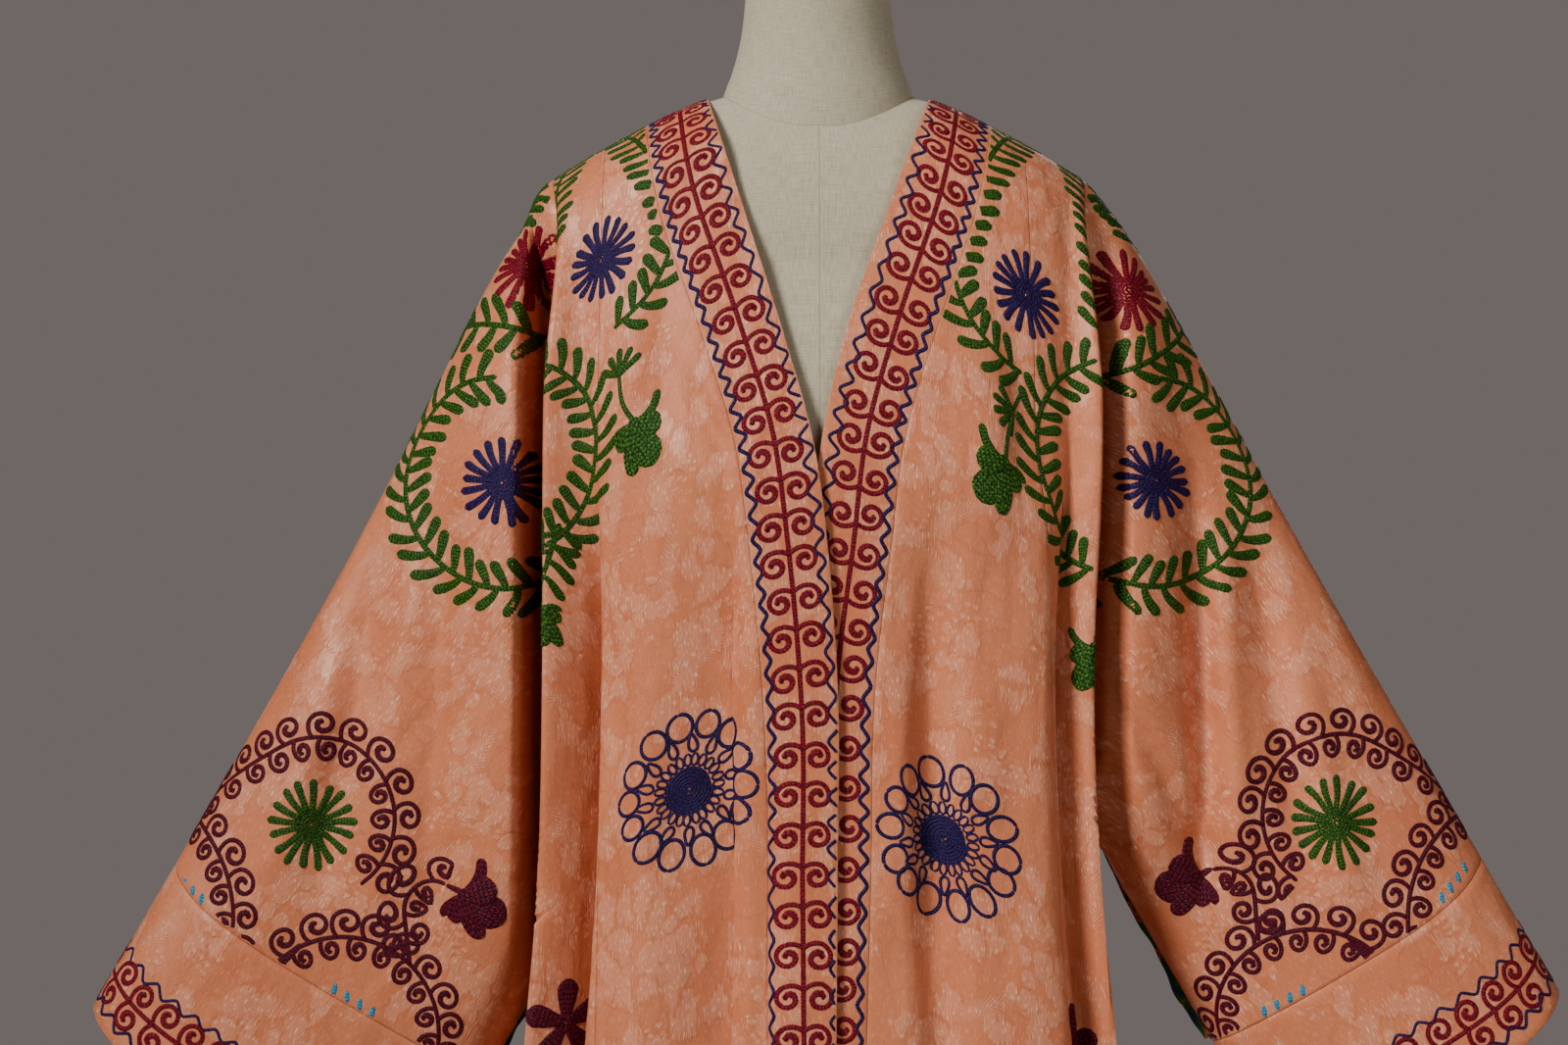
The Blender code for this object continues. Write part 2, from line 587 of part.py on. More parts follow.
def form_ring(z, angle):
    wide = through(z, column(FORM_RINGS, 0), column(FORM_RINGS, 1))
    front = through(z, column(FORM_RINGS, 0), column(FORM_RINGS, 2))
    back = through(z, column(FORM_RINGS, 0), column(FORM_RINGS, 3))
    square = through(z, column(FORM_RINGS, 0), column(FORM_RINGS, 4))
    deep = np.where(np.abs(angle) > math.pi / 2, back, front)
    return np.stack(
        (
            wide * power(np.sin(angle), 2 / square),
            RIDGE_Y - deep * power(np.cos(angle), 2 / square),
            np.broadcast_to(z, np.shape(angle)),
        ),
        -1,
    )


def make_form():
    """The linen form: torso rings up to the chest, a roof that closes along the shoulder line, and a neck."""
    chest = FORM_RINGS[-1][0]
    low_rows = [row[0] for row in FORM_RINGS]
    rows = len(low_rows) - 1 + FORM_ROWS_OVER_SHOULDER
    bm = bmesh.new()
    bmesh.ops.create_grid(bm, x_segments=FORM_SIDES, y_segments=rows, size=0.5)
    for vert in bm.verts:
        angle = 2 * math.pi * round((vert.co.x + 0.5) * FORM_SIDES) / FORM_SIDES - math.pi
        if abs(angle + math.pi) < 1e-9:
            angle = math.pi
        row = round((vert.co.y + 0.5) * rows)
        if row < len(low_rows):
            vert.co = Vector(form_ring(np.array(low_rows[row]), np.array(angle)))
            continue
        rise = (row - len(low_rows) + 1) / FORM_ROWS_OVER_SHOULDER
        foot = form_ring(np.array(chest), np.array(angle))
        under = WALL + FORM_UNDER_RIDGE
        top = float(through(abs(foot[0]), column(RIDGE, 0), column(RIDGE, 1))) - under * 1.13
        turn = rise * math.pi / 2
        vert.co = Vector(
            (
                foot[0],
                RIDGE_Y + (foot[1] - RIDGE_Y) * math.cos(turn),
                chest + (top - chest) * math.sin(turn),
            )
        )
    bmesh.ops.remove_doubles(bm, verts=bm.verts, dist=1e-5)
    low = min(v.co.z for v in bm.verts)
    rim = [e for e in bm.edges if e.is_boundary and all(abs(v.co.z - low) < 1e-6 for v in e.verts)]
    bmesh.ops.contextual_create(bm, geom=rim)
    mesh = bpy.data.meshes.new("form_torso")
    bm.to_mesh(mesh)
    bm.free()
    torso = new_object("form_torso", mesh, "linen", 0.9)

    # The neck is a stack of oval rings sunk in the shoulders.
    neck_mesh = bpy.data.meshes.new("neck")
    bm = bmesh.new()
    sides, rings = 32, len(NECK) - 1
    bmesh.ops.create_grid(bm, x_segments=sides, y_segments=rings, size=0.5)
    for vert in bm.verts:
        turn = 2 * math.pi * round((vert.co.x + 0.5) * sides) / sides
        z, wide, deep, middle = NECK[round((vert.co.y + 0.5) * rings)]
        vert.co = Vector((wide * math.cos(turn), middle + deep * math.sin(turn), z))
    bmesh.ops.remove_doubles(bm, verts=bm.verts, dist=1e-5)
    for height in (NECK[0][0], NECK[-1][0]):
        rim = [e for e in bm.edges if e.is_boundary and all(abs(v.co.z - height) < 1e-6 for v in e.verts)]
        bmesh.ops.contextual_create(bm, geom=rim)
    bmesh.ops.recalc_face_normals(bm, faces=bm.faces)
    bm.to_mesh(neck_mesh)
    bm.free()
    neck = bpy.data.objects.new("neck_joiner", neck_mesh)
    bpy.data.collections["cutters"].objects.link(neck)
    neck.hide_render = True
    neck.display_type = "WIRE"
    join = torso.modifiers.new("neck", "BOOLEAN")
    join.operation = "UNION"
    join.object = neck


def make_stand():
    """A steel pole between a socket under the torso and a hub on the round base."""
    torso_foot = FORM_RINGS[0][0] - FIT
    socket_foot = torso_foot - SOCKET_HEIGHT
    lathe(
        "pole_socket",
        ((0, torso_foot), (SOCKET_RADIUS * 1.5, torso_foot), (SOCKET_RADIUS * 1.5, torso_foot - 0.005),
         (SOCKET_RADIUS, torso_foot - 0.008), (SOCKET_RADIUS * 0.8, socket_foot), (0, socket_foot)),
        "steel", steps=28, roughness=0.35, metallic=1.0,
    )
    hub_top = BASE_HEIGHT + HUB_HEIGHT
    pole_top, pole_foot = socket_foot - FIT, hub_top + FIT
    lathe(
        "pole",
        ((0, pole_top), (POLE_RADIUS, pole_top), (POLE_RADIUS, pole_foot), (0, pole_foot)),
        "steel", steps=20, roughness=0.3, metallic=1.0,
    )
    lathe(
        "base",
        ((0, hub_top), (HUB_RADIUS * 0.75, hub_top), (HUB_RADIUS, BASE_HEIGHT + 0.006), (HUB_RADIUS + 0.006, BASE_HEIGHT),
         (BASE_RADIUS - 0.006, BASE_HEIGHT - 0.002), (BASE_RADIUS, BASE_HEIGHT - 0.006), (BASE_RADIUS, 0), (0, 0)),
        "steel", steps=48, roughness=0.35, metallic=1.0,
    )


def main():
    for thing in list(bpy.data.objects):
        bpy.data.objects.remove(thing)
    for name in ("chapan_on_form", "cutters"):
        bpy.context.scene.collection.children.link(bpy.data.collections.new(name))
    make_fronts()
    make_back()
    make_neck_band()
    make_sleeves()
    make_form()
    make_stand()


main()
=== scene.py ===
"""A silk chapan with chain-stitched suzani flowers, worn by a limbless linen form on a steel stand.

The cloth is laid in metres: u runs round the body or the sleeve, v runs down it from the shoulder.
Every seam, crease, thread and the figured weave itself is placed in those flat measures.
"""

import math

import bmesh
import bpy
import numpy as np
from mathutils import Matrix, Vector
from mathutils.bvhtree import BVHTree


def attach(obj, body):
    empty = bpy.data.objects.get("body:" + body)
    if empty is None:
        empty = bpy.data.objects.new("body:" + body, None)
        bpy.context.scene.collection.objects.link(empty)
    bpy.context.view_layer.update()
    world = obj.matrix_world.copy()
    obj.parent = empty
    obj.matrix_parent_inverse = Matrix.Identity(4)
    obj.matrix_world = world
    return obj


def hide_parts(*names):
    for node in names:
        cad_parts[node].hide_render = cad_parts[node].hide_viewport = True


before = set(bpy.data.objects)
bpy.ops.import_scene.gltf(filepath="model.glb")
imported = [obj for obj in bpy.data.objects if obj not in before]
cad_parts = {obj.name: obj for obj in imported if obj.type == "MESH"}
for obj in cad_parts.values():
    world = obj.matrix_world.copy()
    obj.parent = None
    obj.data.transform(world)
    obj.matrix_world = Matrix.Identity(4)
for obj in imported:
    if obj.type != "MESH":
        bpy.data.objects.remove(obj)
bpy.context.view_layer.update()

# ---------------------------------------------------------------- Camera, light and floor
# A level camera at chest height, three metres in front of the robe, in an evenly lit grey studio.
lens = bpy.data.cameras.new("camera")
lens.lens = 91.0
lens.sensor_width = 36.0
camera = bpy.data.objects.new("camera", lens)
camera.location = (-0.026, -3.0, 1.118)
camera.rotation_euler = (math.pi / 2, 0, 0)
bpy.context.scene.collection.objects.link(camera)
bpy.context.scene.camera = camera

LIGHTS = (
    # name, place, aimed at, size, watts, beam in degrees
    ("key light", (-3.7, -4.0, 4.6), (0.95, 0, 1.10), 1.7, 40.5, 45),
    ("fill light", (2.1, -3.4, 2.2), (0, 0, 1.0), 1.6, 39.0, 180),
    ("back light", (0.3, 3.6, 1.5), (0, 0, 1.0), 2.4, 44.0, 180),
)
for name, place, aim, size, watts, beam in LIGHTS:
    lamp = bpy.data.lights.new(name, "AREA")
    lamp.energy = watts
    lamp.size = size
    lamp.spread = math.radians(beam)
    holder = bpy.data.objects.new(name, lamp)
    holder.location = place
    holder.rotation_euler = (Vector(aim) - Vector(place)).to_track_quat("-Z", "Y").to_euler()
    holder.visible_camera = False
    bpy.context.scene.collection.objects.link(holder)


def linear(text):
    """A colour written as an sRGB hex string, in the linear values that a shader takes."""
    parts = [int(text[i : i + 2], 16) / 255 for i in (1, 3, 5)]
    return [c / 12.92 if c < 0.04045 else ((c + 0.055) / 1.055) ** 2.4 for c in parts] + [1.0]


def fill(node, inputs):
    """Gives a node its inputs: each a value, another node's socket, or a node, meaning its first output."""
    for key, value in inputs.items():
        if isinstance(value, bpy.types.Node):
            value = value.outputs[0]
        if isinstance(value, bpy.types.NodeSocket):
            node.id_data.links.new(value, node.inputs[key])
        else:
            node.inputs[key].default_value = value


def add_node(tree, kind, inputs=(), **settings):
    """Adds a node with its settings and links. A setting that isn't the node's own is one of its inputs."""
    node = tree.nodes.new("ShaderNode" + kind)
    for key, value in settings.items():
        if hasattr(node, key):
            setattr(node, key, value)
        else:
            node.inputs[key].default_value = value
    fill(node, dict(inputs))
    return node


def new_material(name):
    material = bpy.data.materials.new(name)
    material.use_nodes = True
    return material, material.node_tree, material.node_tree.nodes["Principled BSDF"]


world = bpy.data.worlds.new("studio")
bpy.context.scene.world = world
world.use_nodes = True
# The backdrop looks lighter to the camera than the light it gives back.
tree = world.node_tree
path = add_node(tree, "LightPath")
seen = add_node(tree, "MapRange", {"Value": path.outputs["Is Camera Ray"], "To Min": 0.36, "To Max": 0.58})
fill(tree.nodes["Background"], {"Color": linear("#8f8683"), "Strength": seen})

# Pale floor with a faint mottling, like seamless studio paper.
paper, tree, shader = new_material("floor paper")
mottle = add_node(tree, "TexNoise", Scale=3.0, Detail=4.0)
greys = {0: mottle, 6: linear("#b5b0ab"), 7: linear("#bdb8b3")}
tint = add_node(tree, "Mix", greys, data_type="RGBA")
fill(shader, {"Base Color": tint.outputs[2], "Roughness": 0.85})
bpy.ops.mesh.primitive_plane_add(size=8.0, location=(0, 0, -0.0005))
floor = bpy.context.object
floor.name = "floor"
floor.data.materials.append(paper)


# ---------------------------------------------------------------- The robe's shape
# Oval rings hang from the sloping shoulder line. Long folds are pushed in or out of them,
# and the sleeves are flat tubes that leave the armholes at about thirty degrees to the body.
WALL = 0.0015
HEM_Z, RIDGE_Y, SHOULDER_ROUND, OVAL = 0.13, 0.008, 0.05, 2.6
BAND_TOP_IN, BAND_TOP_OUT, BAND_WIDTH = 0.0838, 0.133, 0.054
RIDGE = ((0.0, 1.452), (0.0838, 1.4385), (0.133, 1.4163), (0.20, 1.378), (0.24, 1.352))
FALL = RIDGE[0][1] - HEM_Z
NECK_BACK_DROP, QUARTER_RUN = 0.066, 0.1086
RINGS = (
    # height, half-width left and right, depth in front and behind
    (1.452, 0.213, 0.213, 0.072, 0.084),
    (1.38, 0.213, 0.213, 0.090, 0.096),
    (1.30, 0.210, 0.214, 0.112, 0.104),
    (1.17, 0.208, 0.212, 0.136, 0.110),
    (1.00, 0.208, 0.203, 0.138, 0.112),
    (0.88, 0.210, 0.206, 0.140, 0.124),
    (0.72, 0.222, 0.220, 0.148, 0.142),
    (0.42, 0.262, 0.262, 0.172, 0.164),
    (0.13, 0.300, 0.300, 0.198, 0.186),
)
EDGES = (
    # height, then where the left edge, left band seam, right edge and right band seam cross the front
    (1.4385, -0.0838, -0.133, 0.0838, 0.133),
    (1.3468, -0.0548, -0.1175, 0.0496, 0.1150),
    (1.2520, -0.0250, -0.0850, 0.0175, 0.0830),
    (1.1780, -0.0047, -0.0620, 0.0010, 0.0620),
    (1.0986, 0.0060, -0.0508, -0.0080, 0.0521),
    (1.0000, 0.0130, -0.0420, -0.0160, 0.0400),
    (0.8570, 0.0130, -0.0380, -0.0190, 0.0370),
    (0.7400, 0.0120, -0.0370, -0.0200, 0.0340),
    (0.1300, 0.0120, -0.0400, -0.0210, 0.0350),
)
BACK_SEAMS = ((1.40, 0.157), (1.20, 0.160), (1.00, 0.165), (0.74, 0.172), (0.13, 0.210))
PANEL_SEAMS = (
    (1.40, -0.160, 0.153),
    (1.20, -0.163, 0.160),
    (1.00, -0.163, 0.171),
    (0.74, -0.164, 0.181),
    (0.13, -0.205, 0.215),
)
FOLDS = (
    # name, angle at top, angle at hem, start, full, depth there, depth at hem, width inward, width outward
    ("left crest", -59.6, -60.5, 1.40, 1.20, 0.024, 0.032, 4.6, 4.0),
    ("left groove", -70.0, -75.0, 1.39, 1.22, -0.064, -0.040, 4.4, 8.0),
    ("left trough", -48.4, -51.5, 1.18, 0.96, -0.042, -0.040, 1.7, 6.2),
    ("left dip", -13.4, -11.5, 1.20, 1.02, -0.015, -0.022, 2.3, 8.0),
    ("left band trough", -6.4, -6.4, 1.02, 0.84, -0.010, -0.014, 1.7, 5.0),
    ("left swell", -31.0, -30.0, 1.18, 0.90, 0.008, 0.020, 7.0, 8.0),
    ("right crest", 61.4, 64.0, 1.40, 1.20, 0.022, 0.030, 3.8, 4.0),
    ("right groove", 70.6, 75.0, 1.39, 1.22, -0.058, -0.038, 4.0, 8.0),
    ("right trough", 56.4, 62.0, 1.22, 1.04, -0.018, -0.007, 1.6, 2.4),
    ("right dip", 18.5, 19.5, 1.18, 0.98, -0.014, -0.018, 4.2, 5.0),
    ("right swell", 46.5, 48.0, 1.22, 0.96, 0.012, 0.020, 13.0, 4.5),
    ("left back crest", -121.0, -118.0, 1.36, 1.22, 0.012, 0.026, 6.0, 7.0),
    ("left back groove", -109.0, -101.0, 1.36, 1.22, -0.015, -0.020, 9.0, 5.0),
    ("right back crest", 121.0, 119.0, 1.36, 1.22, 0.012, 0.026, 6.0, 7.0),
    ("right back groove", 109.0, 102.0, 1.36, 1.22, -0.015, -0.020, 9.0, 5.0),
    ("left back trough", -138.0, -137.0, 1.15, 0.85, -0.010, -0.028, 6.0, 6.0),
    ("left back swell", -150.0, -151.0, 1.10, 0.75, 0.008, 0.024, 7.0, 7.0),
    ("back dip", 178.0, 176.0, 1.18, 0.80, -0.012, -0.030, 9.0, 9.0),
    ("right back swell", 153.0, 155.0, 1.08, 0.72, 0.008, 0.024, 7.0, 7.0),
    ("right back trough", 137.0, 137.0, 1.12, 0.80, -0.010, -0.028, 6.0, 6.0),
    ("left side swell", -88.0, -89.0, 0.80, 0.45, 0.004, 0.018, 7.0, 7.0),
    ("right side swell", 88.0, 90.0, 0.84, 0.45, 0.004, 0.018, 7.0, 7.0),
)
ARM_ANGLE, ARM_ROUND = 68.0, 0.10
UNDERARM_Z = {-1: 0.817, 1: 0.892}
SLEEVE_TILT = math.radians(30.4)
SLEEVE_TOP = {-1: (-0.1826, 1.378), 1: (0.201, 1.378)}
SLEEVE_WIDTH = {-1: 0.284, 1: 0.246}
CUFF_SEAM = {-1: 0.602, 1: 0.594}
CUFF_END = {-1: 0.725, 1: 0.712}
CUFF_DIP, CUFF_DIP_WIDTH = 0.018, 0.030
SLEEVE_THICK, CUFF_THICK, SLEEVE_OVAL, SLEEVE_BLEND = 0.045, 0.056, 2.3, 0.06
SHOULDER_BULGE, BULGE_LENGTH = {-1: 0.018, 1: 0.008}, 0.09
SLEEVE_FOLDS = (
    # name, side, face (-1 front), top x, top z, foot x, foot z, depth, half-width toward the body and away
    ("left armhole roll", -1, -1, -0.225, 1.42, -0.230, 0.64, 0.035, 0.0105, 0.055),
    ("left armhole slot", -1, -1, -0.209, 1.42, -0.211, 0.64, -0.050, 0.0065, 0.0055),
    ("left middle trough", -1, -1, -0.274, 1.16, -0.295, 0.74, -0.007, 0.012, 0.012),
    ("left outer ridge", -1, -1, -0.300, 1.14, -0.335, 0.80, 0.005, 0.014, 0.014),
    ("left trough", -1, -1, -0.324, 1.12, -0.380, 0.80, -0.008, 0.015, 0.015),
    ("left low ridge", -1, -1, -0.350, 1.04, -0.430, 0.80, 0.006, 0.018, 0.018),
    ("right armhole roll", 1, -1, 0.232, 1.42, 0.234, 0.72, 0.026, 0.0120, 0.036),
    ("right armhole slot", 1, -1, 0.2140, 1.32, 0.2110, 0.72, -0.050, 0.0070, 0.0042),
    ("right inner trough", 1, -1, 0.276, 1.18, 0.292, 0.80, -0.015, 0.010, 0.012),
    ("right middle ridge", 1, -1, 0.296, 1.14, 0.320, 0.82, 0.007, 0.012, 0.012),
    ("right outer trough", 1, -1, 0.320, 1.14, 0.367, 0.84, -0.009, 0.013, 0.013),
    ("right low ridge", 1, -1, 0.348, 1.04, 0.408, 0.80, 0.007, 0.016, 0.016),
    ("right armpit trough", 1, -1, 0.222, 1.00, 0.300, 0.84, -0.008, 0.009, 0.009),
    ("left back roll", -1, 1, -0.232, 1.38, -0.238, 0.68, 0.024, 0.015, 0.040),
    ("right back roll", 1, 1, 0.236, 1.38, 0.240, 0.72, 0.024, 0.015, 0.040),
    ("left back trough", -1, 1, -0.285, 1.12, -0.315, 0.80, -0.011, 0.016, 0.016),
    ("left back ridge", -1, 1, -0.330, 1.10, -0.380, 0.80, 0.007, 0.018, 0.018),
    ("right back trough", 1, 1, 0.280, 1.12, 0.315, 0.80, -0.011, 0.016, 0.016),
    ("right back ridge", 1, 1, 0.325, 1.10, 0.375, 0.80, 0.007, 0.018, 0.018),
)
# Metres round the ring to a degree, near enough to measure small creases by.
PER_DEGREE = 0.0026
# Small creases that the solids leave out: ends in degrees round the ring and metres of height.
CREASES = (
    # angle and height at one end, at the other end, depth, half-width
    (-12.0, 1.155, -23.5, 1.235, -0.0045, 0.006),
    (-14.0, 1.130, -30.0, 1.190, 0.0026, 0.008),
    (-24.0, 1.195, -40.0, 1.215, -0.0016, 0.007),
    (-9.0, 1.130, -13.0, 1.00, -0.0030, 0.008),
    (-35.0, 1.33, -38.0, 1.12, 0.0040, 0.014),
    (-26.0, 1.34, -28.0, 1.18, -0.0028, 0.010),
    (-44.0, 1.08, -37.0, 0.90, -0.0030, 0.011),
    (-24.0, 1.05, -26.0, 0.80, -0.0034, 0.011),
    (26.0, 1.30, 33.0, 1.10, 0.0034, 0.013),
    (36.0, 1.30, 41.0, 1.12, -0.0030, 0.011),
    (24.0, 1.08, 27.0, 0.92, -0.0016, 0.008),
    (44.0, 1.24, 47.0, 1.12, -0.0030, 0.011),
    (37.0, 1.02, 40.0, 0.86, -0.0016, 0.011),
    (10.0, 1.06, 12.5, 0.80, 0.0034, 0.009),
    (150.0, 1.32, 158.0, 1.14, -0.0036, 0.013),
    (-152.0, 1.33, -160.0, 1.13, -0.0036, 0.013),
    (170.0, 1.24, 176.0, 1.06, 0.0034, 0.013),
    (-133.0, 1.14, -142.0, 0.92, 0.0034, 0.012),
    (134.0, 1.12, 142.0, 0.90, 0.0034, 0.012),
    (-170.0, 1.10, -166.0, 0.80, -0.0036, 0.013),
)


def through(where, knots, values):
    """A smooth curve through the values, with the slope at each knot taken from its neighbours."""
    knots, values = np.asarray(knots, float), np.asarray(values, float)
    if knots[0] > knots[-1]:
        knots, values = knots[::-1], values[::-1]
    where = np.clip(where, knots[0], knots[-1])
    slope = np.gradient(values, knots)
    i = np.clip(np.searchsorted(knots, where) - 1, 0, len(knots) - 2)
    step = knots[i + 1] - knots[i]
    t = (where - knots[i]) / step
    rise = values[i] * (1 + 2 * t) * (1 - t) ** 2 + values[i + 1] * t * t * (3 - 2 * t)
    return rise + step * (slope[i] * t * (1 - t) ** 2 - slope[i + 1] * t * t * (1 - t))


def column(table, index):
    return [row[index] for row in table]


def ease(t):
    t = np.clip(t, 0, 1)
    return t * t * (3 - 2 * t)


def power(value, exponent):
    return np.sign(value) * np.abs(value) ** exponent


def ridge_height(angle):
    across = RINGS[0][1] * np.abs(np.sin(angle)) ** (2 / OVAL)
    return through(across, column(RIDGE, 0), column(RIDGE, 1))


def crease_push(across, height, creases):
    """Small creases drawn as soft strokes, each faded out at both ends."""
    push = np.zeros(np.shape(across))
    for x0, z0, x1, z1, depth, width in creases:
        run = np.array([x1 - x0, z1 - z0])
        length = np.hypot(*run)
        along = ((across - x0) * run[0] + (height - z0) * run[1]) / length**2
        aside = ((across - x0) * run[1] - (height - z0) * run[0]) / length
        push += depth * ease(along / 0.4) * ease((1 - along) / 0.4) * np.exp(-((aside / width) ** 2))
    return push


def fold_push(angle, z):
    """How far folds and creases move the cloth out of its ring."""
    push = np.zeros(angle.shape)
    degrees = np.degrees(angle)
    for _, top, hem, start, full, depth, hem_depth, inward, outward_width in FOLDS:
        down = np.clip((start - z) / (start - HEM_Z), 0, 1)
        middle = top + (hem - top) * down
        off = (degrees - middle + 180) % 360 - 180
        off = off * (np.sign(middle) if abs(top) < 170 else 1)
        width = np.where(off < 0, inward, outward_width)
        grown = depth + (hem_depth - depth) * np.clip((full - z) / (full - HEM_Z), 0, 1)
        push += grown * ease((start - z) / (start - full)) * np.exp(-((off / width) ** 2))
    creases = [(a * PER_DEGREE, p, b * PER_DEGREE, q, depth, width) for a, p, b, q, depth, width in CREASES]
    return push + crease_push(degrees * PER_DEGREE, z, creases)


def body(angle, fall):
    """A point of the robe's outer face: angle round the ring, and fall from the shoulder line, 0 to FALL."""
    angle, fall = np.broadcast_arrays(np.asarray(angle, float), np.asarray(fall, float))
    angle = (angle + math.pi) % (2 * math.pi) - math.pi
    ridge = ridge_height(angle)
    z = HEM_Z + (ridge - HEM_Z) * (1 - fall / FALL)
    left, right, before, behind = (through(z, column(RINGS, 0), column(RINGS, i)) for i in (1, 2, 3, 4))
    wide = np.where(angle < 0, left, right)
    deep = np.where(np.abs(angle) > math.pi / 2, behind, before)
    over = np.arccos(1 - np.clip((ridge - z) / SHOULDER_ROUND, 0, 1))
    x = wide * power(np.sin(angle), 2 / OVAL)
    along = -deep * power(np.cos(angle), 2 / OVAL)
    out_x, out_y = x / wide**2, along / deep**2
    push = fold_push(angle, z) / np.hypot(out_x, out_y)
    y = RIDGE_Y + (along + push * out_y) * np.sin(over)
    return np.stack((x + push * out_x, y, z), -1)


def outward(angle, fall):
    """Unit normal of the robe's surface."""
    step = 1e-4
    around = body(angle + step, fall) - body(angle - step, fall)
    near = np.clip(fall / 2, 1e-7, step)
    down = body(angle, np.minimum(fall + near, FALL)) - body(angle, np.maximum(fall - near, 0))
    over_top = np.where(np.abs(angle) > math.pi / 2, 1.0, -1.0)[..., None] * (0.0, 1.0, 0.0)
    down = np.where(np.asarray(fall)[..., None] < 1e-6, over_top, down)
    normal = np.cross(down, around)
    return normal / np.linalg.norm(normal, axis=-1)[..., None]


def front_line(table, index, fall):
    """Angles of a seam or edge given by its places across the front."""
    angle = np.zeros(np.shape(fall))
    for _ in range(6):
        ridge = ridge_height(angle)
        z = HEM_Z + (ridge - HEM_Z) * (1 - fall / FALL)
        x = through(z, column(table, 0), column(table, index))
        wide = through(z, column(RINGS, 0), column(RINGS, 1))
        wide = np.where(x < 0, wide, through(z, column(RINGS, 0), column(RINGS, 2)))
        angle = np.sign(x) * np.arcsin(np.clip(np.abs(x) / wide, 0, 1) ** (OVAL / 2))
    return angle


def fall_at(z, angle):
    return FALL * (ridge_height(angle) - z) / (ridge_height(angle) - HEM_Z)


def arm_line(side, fall):
    """Angle from the front of a side panel's outer edge: the armhole, then the side seam."""
    foot = fall_at(UNDERARM_Z[side], math.pi / 2)
    start = fall_at(UNDERARM_Z[side] + ARM_ROUND, math.radians(ARM_ANGLE))
    down = np.clip((fall - start) / (foot - start), 0, 1)
    return np.radians(ARM_ANGLE + (90 - ARM_ANGLE) * (1 - np.sqrt(1 - down**2)))


def fall_of(v):
    """Fall for a run v down the cloth, which first rolls over the shoulder."""
    rolled = SHOULDER_ROUND * (1 - np.cos(np.clip(v / QUARTER_RUN, 0, 1) * math.pi / 2))
    return np.minimum(rolled + np.maximum(v - QUARTER_RUN, 0), FALL)


def run_of(fall):
    turned = np.arccos(1 - np.clip(fall / SHOULDER_ROUND, 0, 1)) / (math.pi / 2)
    return turned * QUARTER_RUN + np.maximum(fall - SHOULDER_ROUND, 0)


def run_along(line):
    """How far along a line each of its points lies."""
    return np.concatenate(([0], np.cumsum(np.linalg.norm(np.diff(line, axis=0), axis=1))))


V_END = QUARTER_RUN + FALL - SHOULDER_ROUND
V_COUNT, TURN_COUNT = 560, 1600
V_STEP, U_STEP, U_REACH = V_END / V_COUNT, 0.0025, 1.35
V_ROWS = np.arange(V_COUNT + 1) * V_STEP
TURNS = np.radians(np.linspace(-240, 240, TURN_COUNT + 1))
ROUND = np.array([run_along(row) for row in body(TURNS[None, :], fall_of(V_ROWS)[:, None])])
ROUND -= ROUND[:, TURN_COUNT // 2][:, None]
U_GRID = np.arange(-U_REACH, U_REACH, U_STEP)
TURN_GRID = np.array([np.interp(U_GRID, row, TURNS) for row in ROUND])


def between(table, row, place):
    """Reads a table at fractional rows and places."""
    i, j = row.astype(int), place.astype(int)
    a, b = row - i, place - j
    low = table[i, j] * (1 - b) + table[i, j + 1] * b
    high = table[i + 1, j] * (1 - b) + table[i + 1, j + 1] * b
    return low * (1 - a) + high * a


def turn_of(u, v):
    """The angle round the ring of a flat place on the body."""
    place = np.clip((u + U_REACH) / U_STEP, 0, len(U_GRID) - 1.001)
    return between(TURN_GRID, np.clip(v / V_STEP, 0, V_COUNT - 0.001), place)


def u_of(angle, v):
    """The flat place across of an angle round the ring; both are arrays alike."""
    place = np.clip((angle - TURNS[0]) / (TURNS[1] - TURNS[0]), 0, TURN_COUNT - 0.001)
    return between(ROUND, np.clip(v / V_STEP, 0, V_COUNT - 0.001), place)


def lay_body(side):
    """Where a flat place on the body lies, and which way it faces. The left front laps over the right."""

    def lay(u, v):
        angle, fall = turn_of(u, v), fall_of(v)
        points, normals = body(angle, fall), outward(angle, fall)
        near = 1 - ease((np.abs(points[..., 0]) - 0.055) / 0.06)
        lift = -side * 0.0035 * near * ease((1.27 - points[..., 2]) / 0.12)
        lift = np.where(np.abs(angle) > math.pi / 2, 0, lift)
        return points + normals * lift[..., None], normals

    return lay


def sleeve_axes(side):
    axis = np.array([side * math.sin(SLEEVE_TILT), 0, -math.cos(SLEEVE_TILT)])
    inward = np.array([-side * math.cos(SLEEVE_TILT), 0, -math.sin(SLEEVE_TILT)])
    return np.array([SLEEVE_TOP[side][0], RIDGE_Y, SLEEVE_TOP[side][1]]), axis, inward


def section(share):
    return (1 - np.abs(2 * share - 1) ** SLEEVE_OVAL) ** (1 / SLEEVE_OVAL)


def sleeve_fold(side, face, points):
    push = np.zeros(points.shape[:-1])
    for _, fold_side, fold_face, top_x, top_z, foot_x, foot_z, depth, inward, outward_width in SLEEVE_FOLDS:
        if fold_side != side:
            continue
        run = np.array([foot_x - top_x, foot_z - top_z])
        length = np.hypot(*run)
        run /= length
        off = points[..., (0, 2)] - (top_x, top_z)
        along = off @ run / length
        aside = off @ np.array([run[1], -run[0]])
        fade = ease(along / 0.28) * ease((1 - along) / 0.28)
        width = np.where(aside * side > 0, inward, outward_width)
        push += np.where(face == fold_face, depth, 0) * fade * np.exp(-((aside / width) ** 2))
    return push


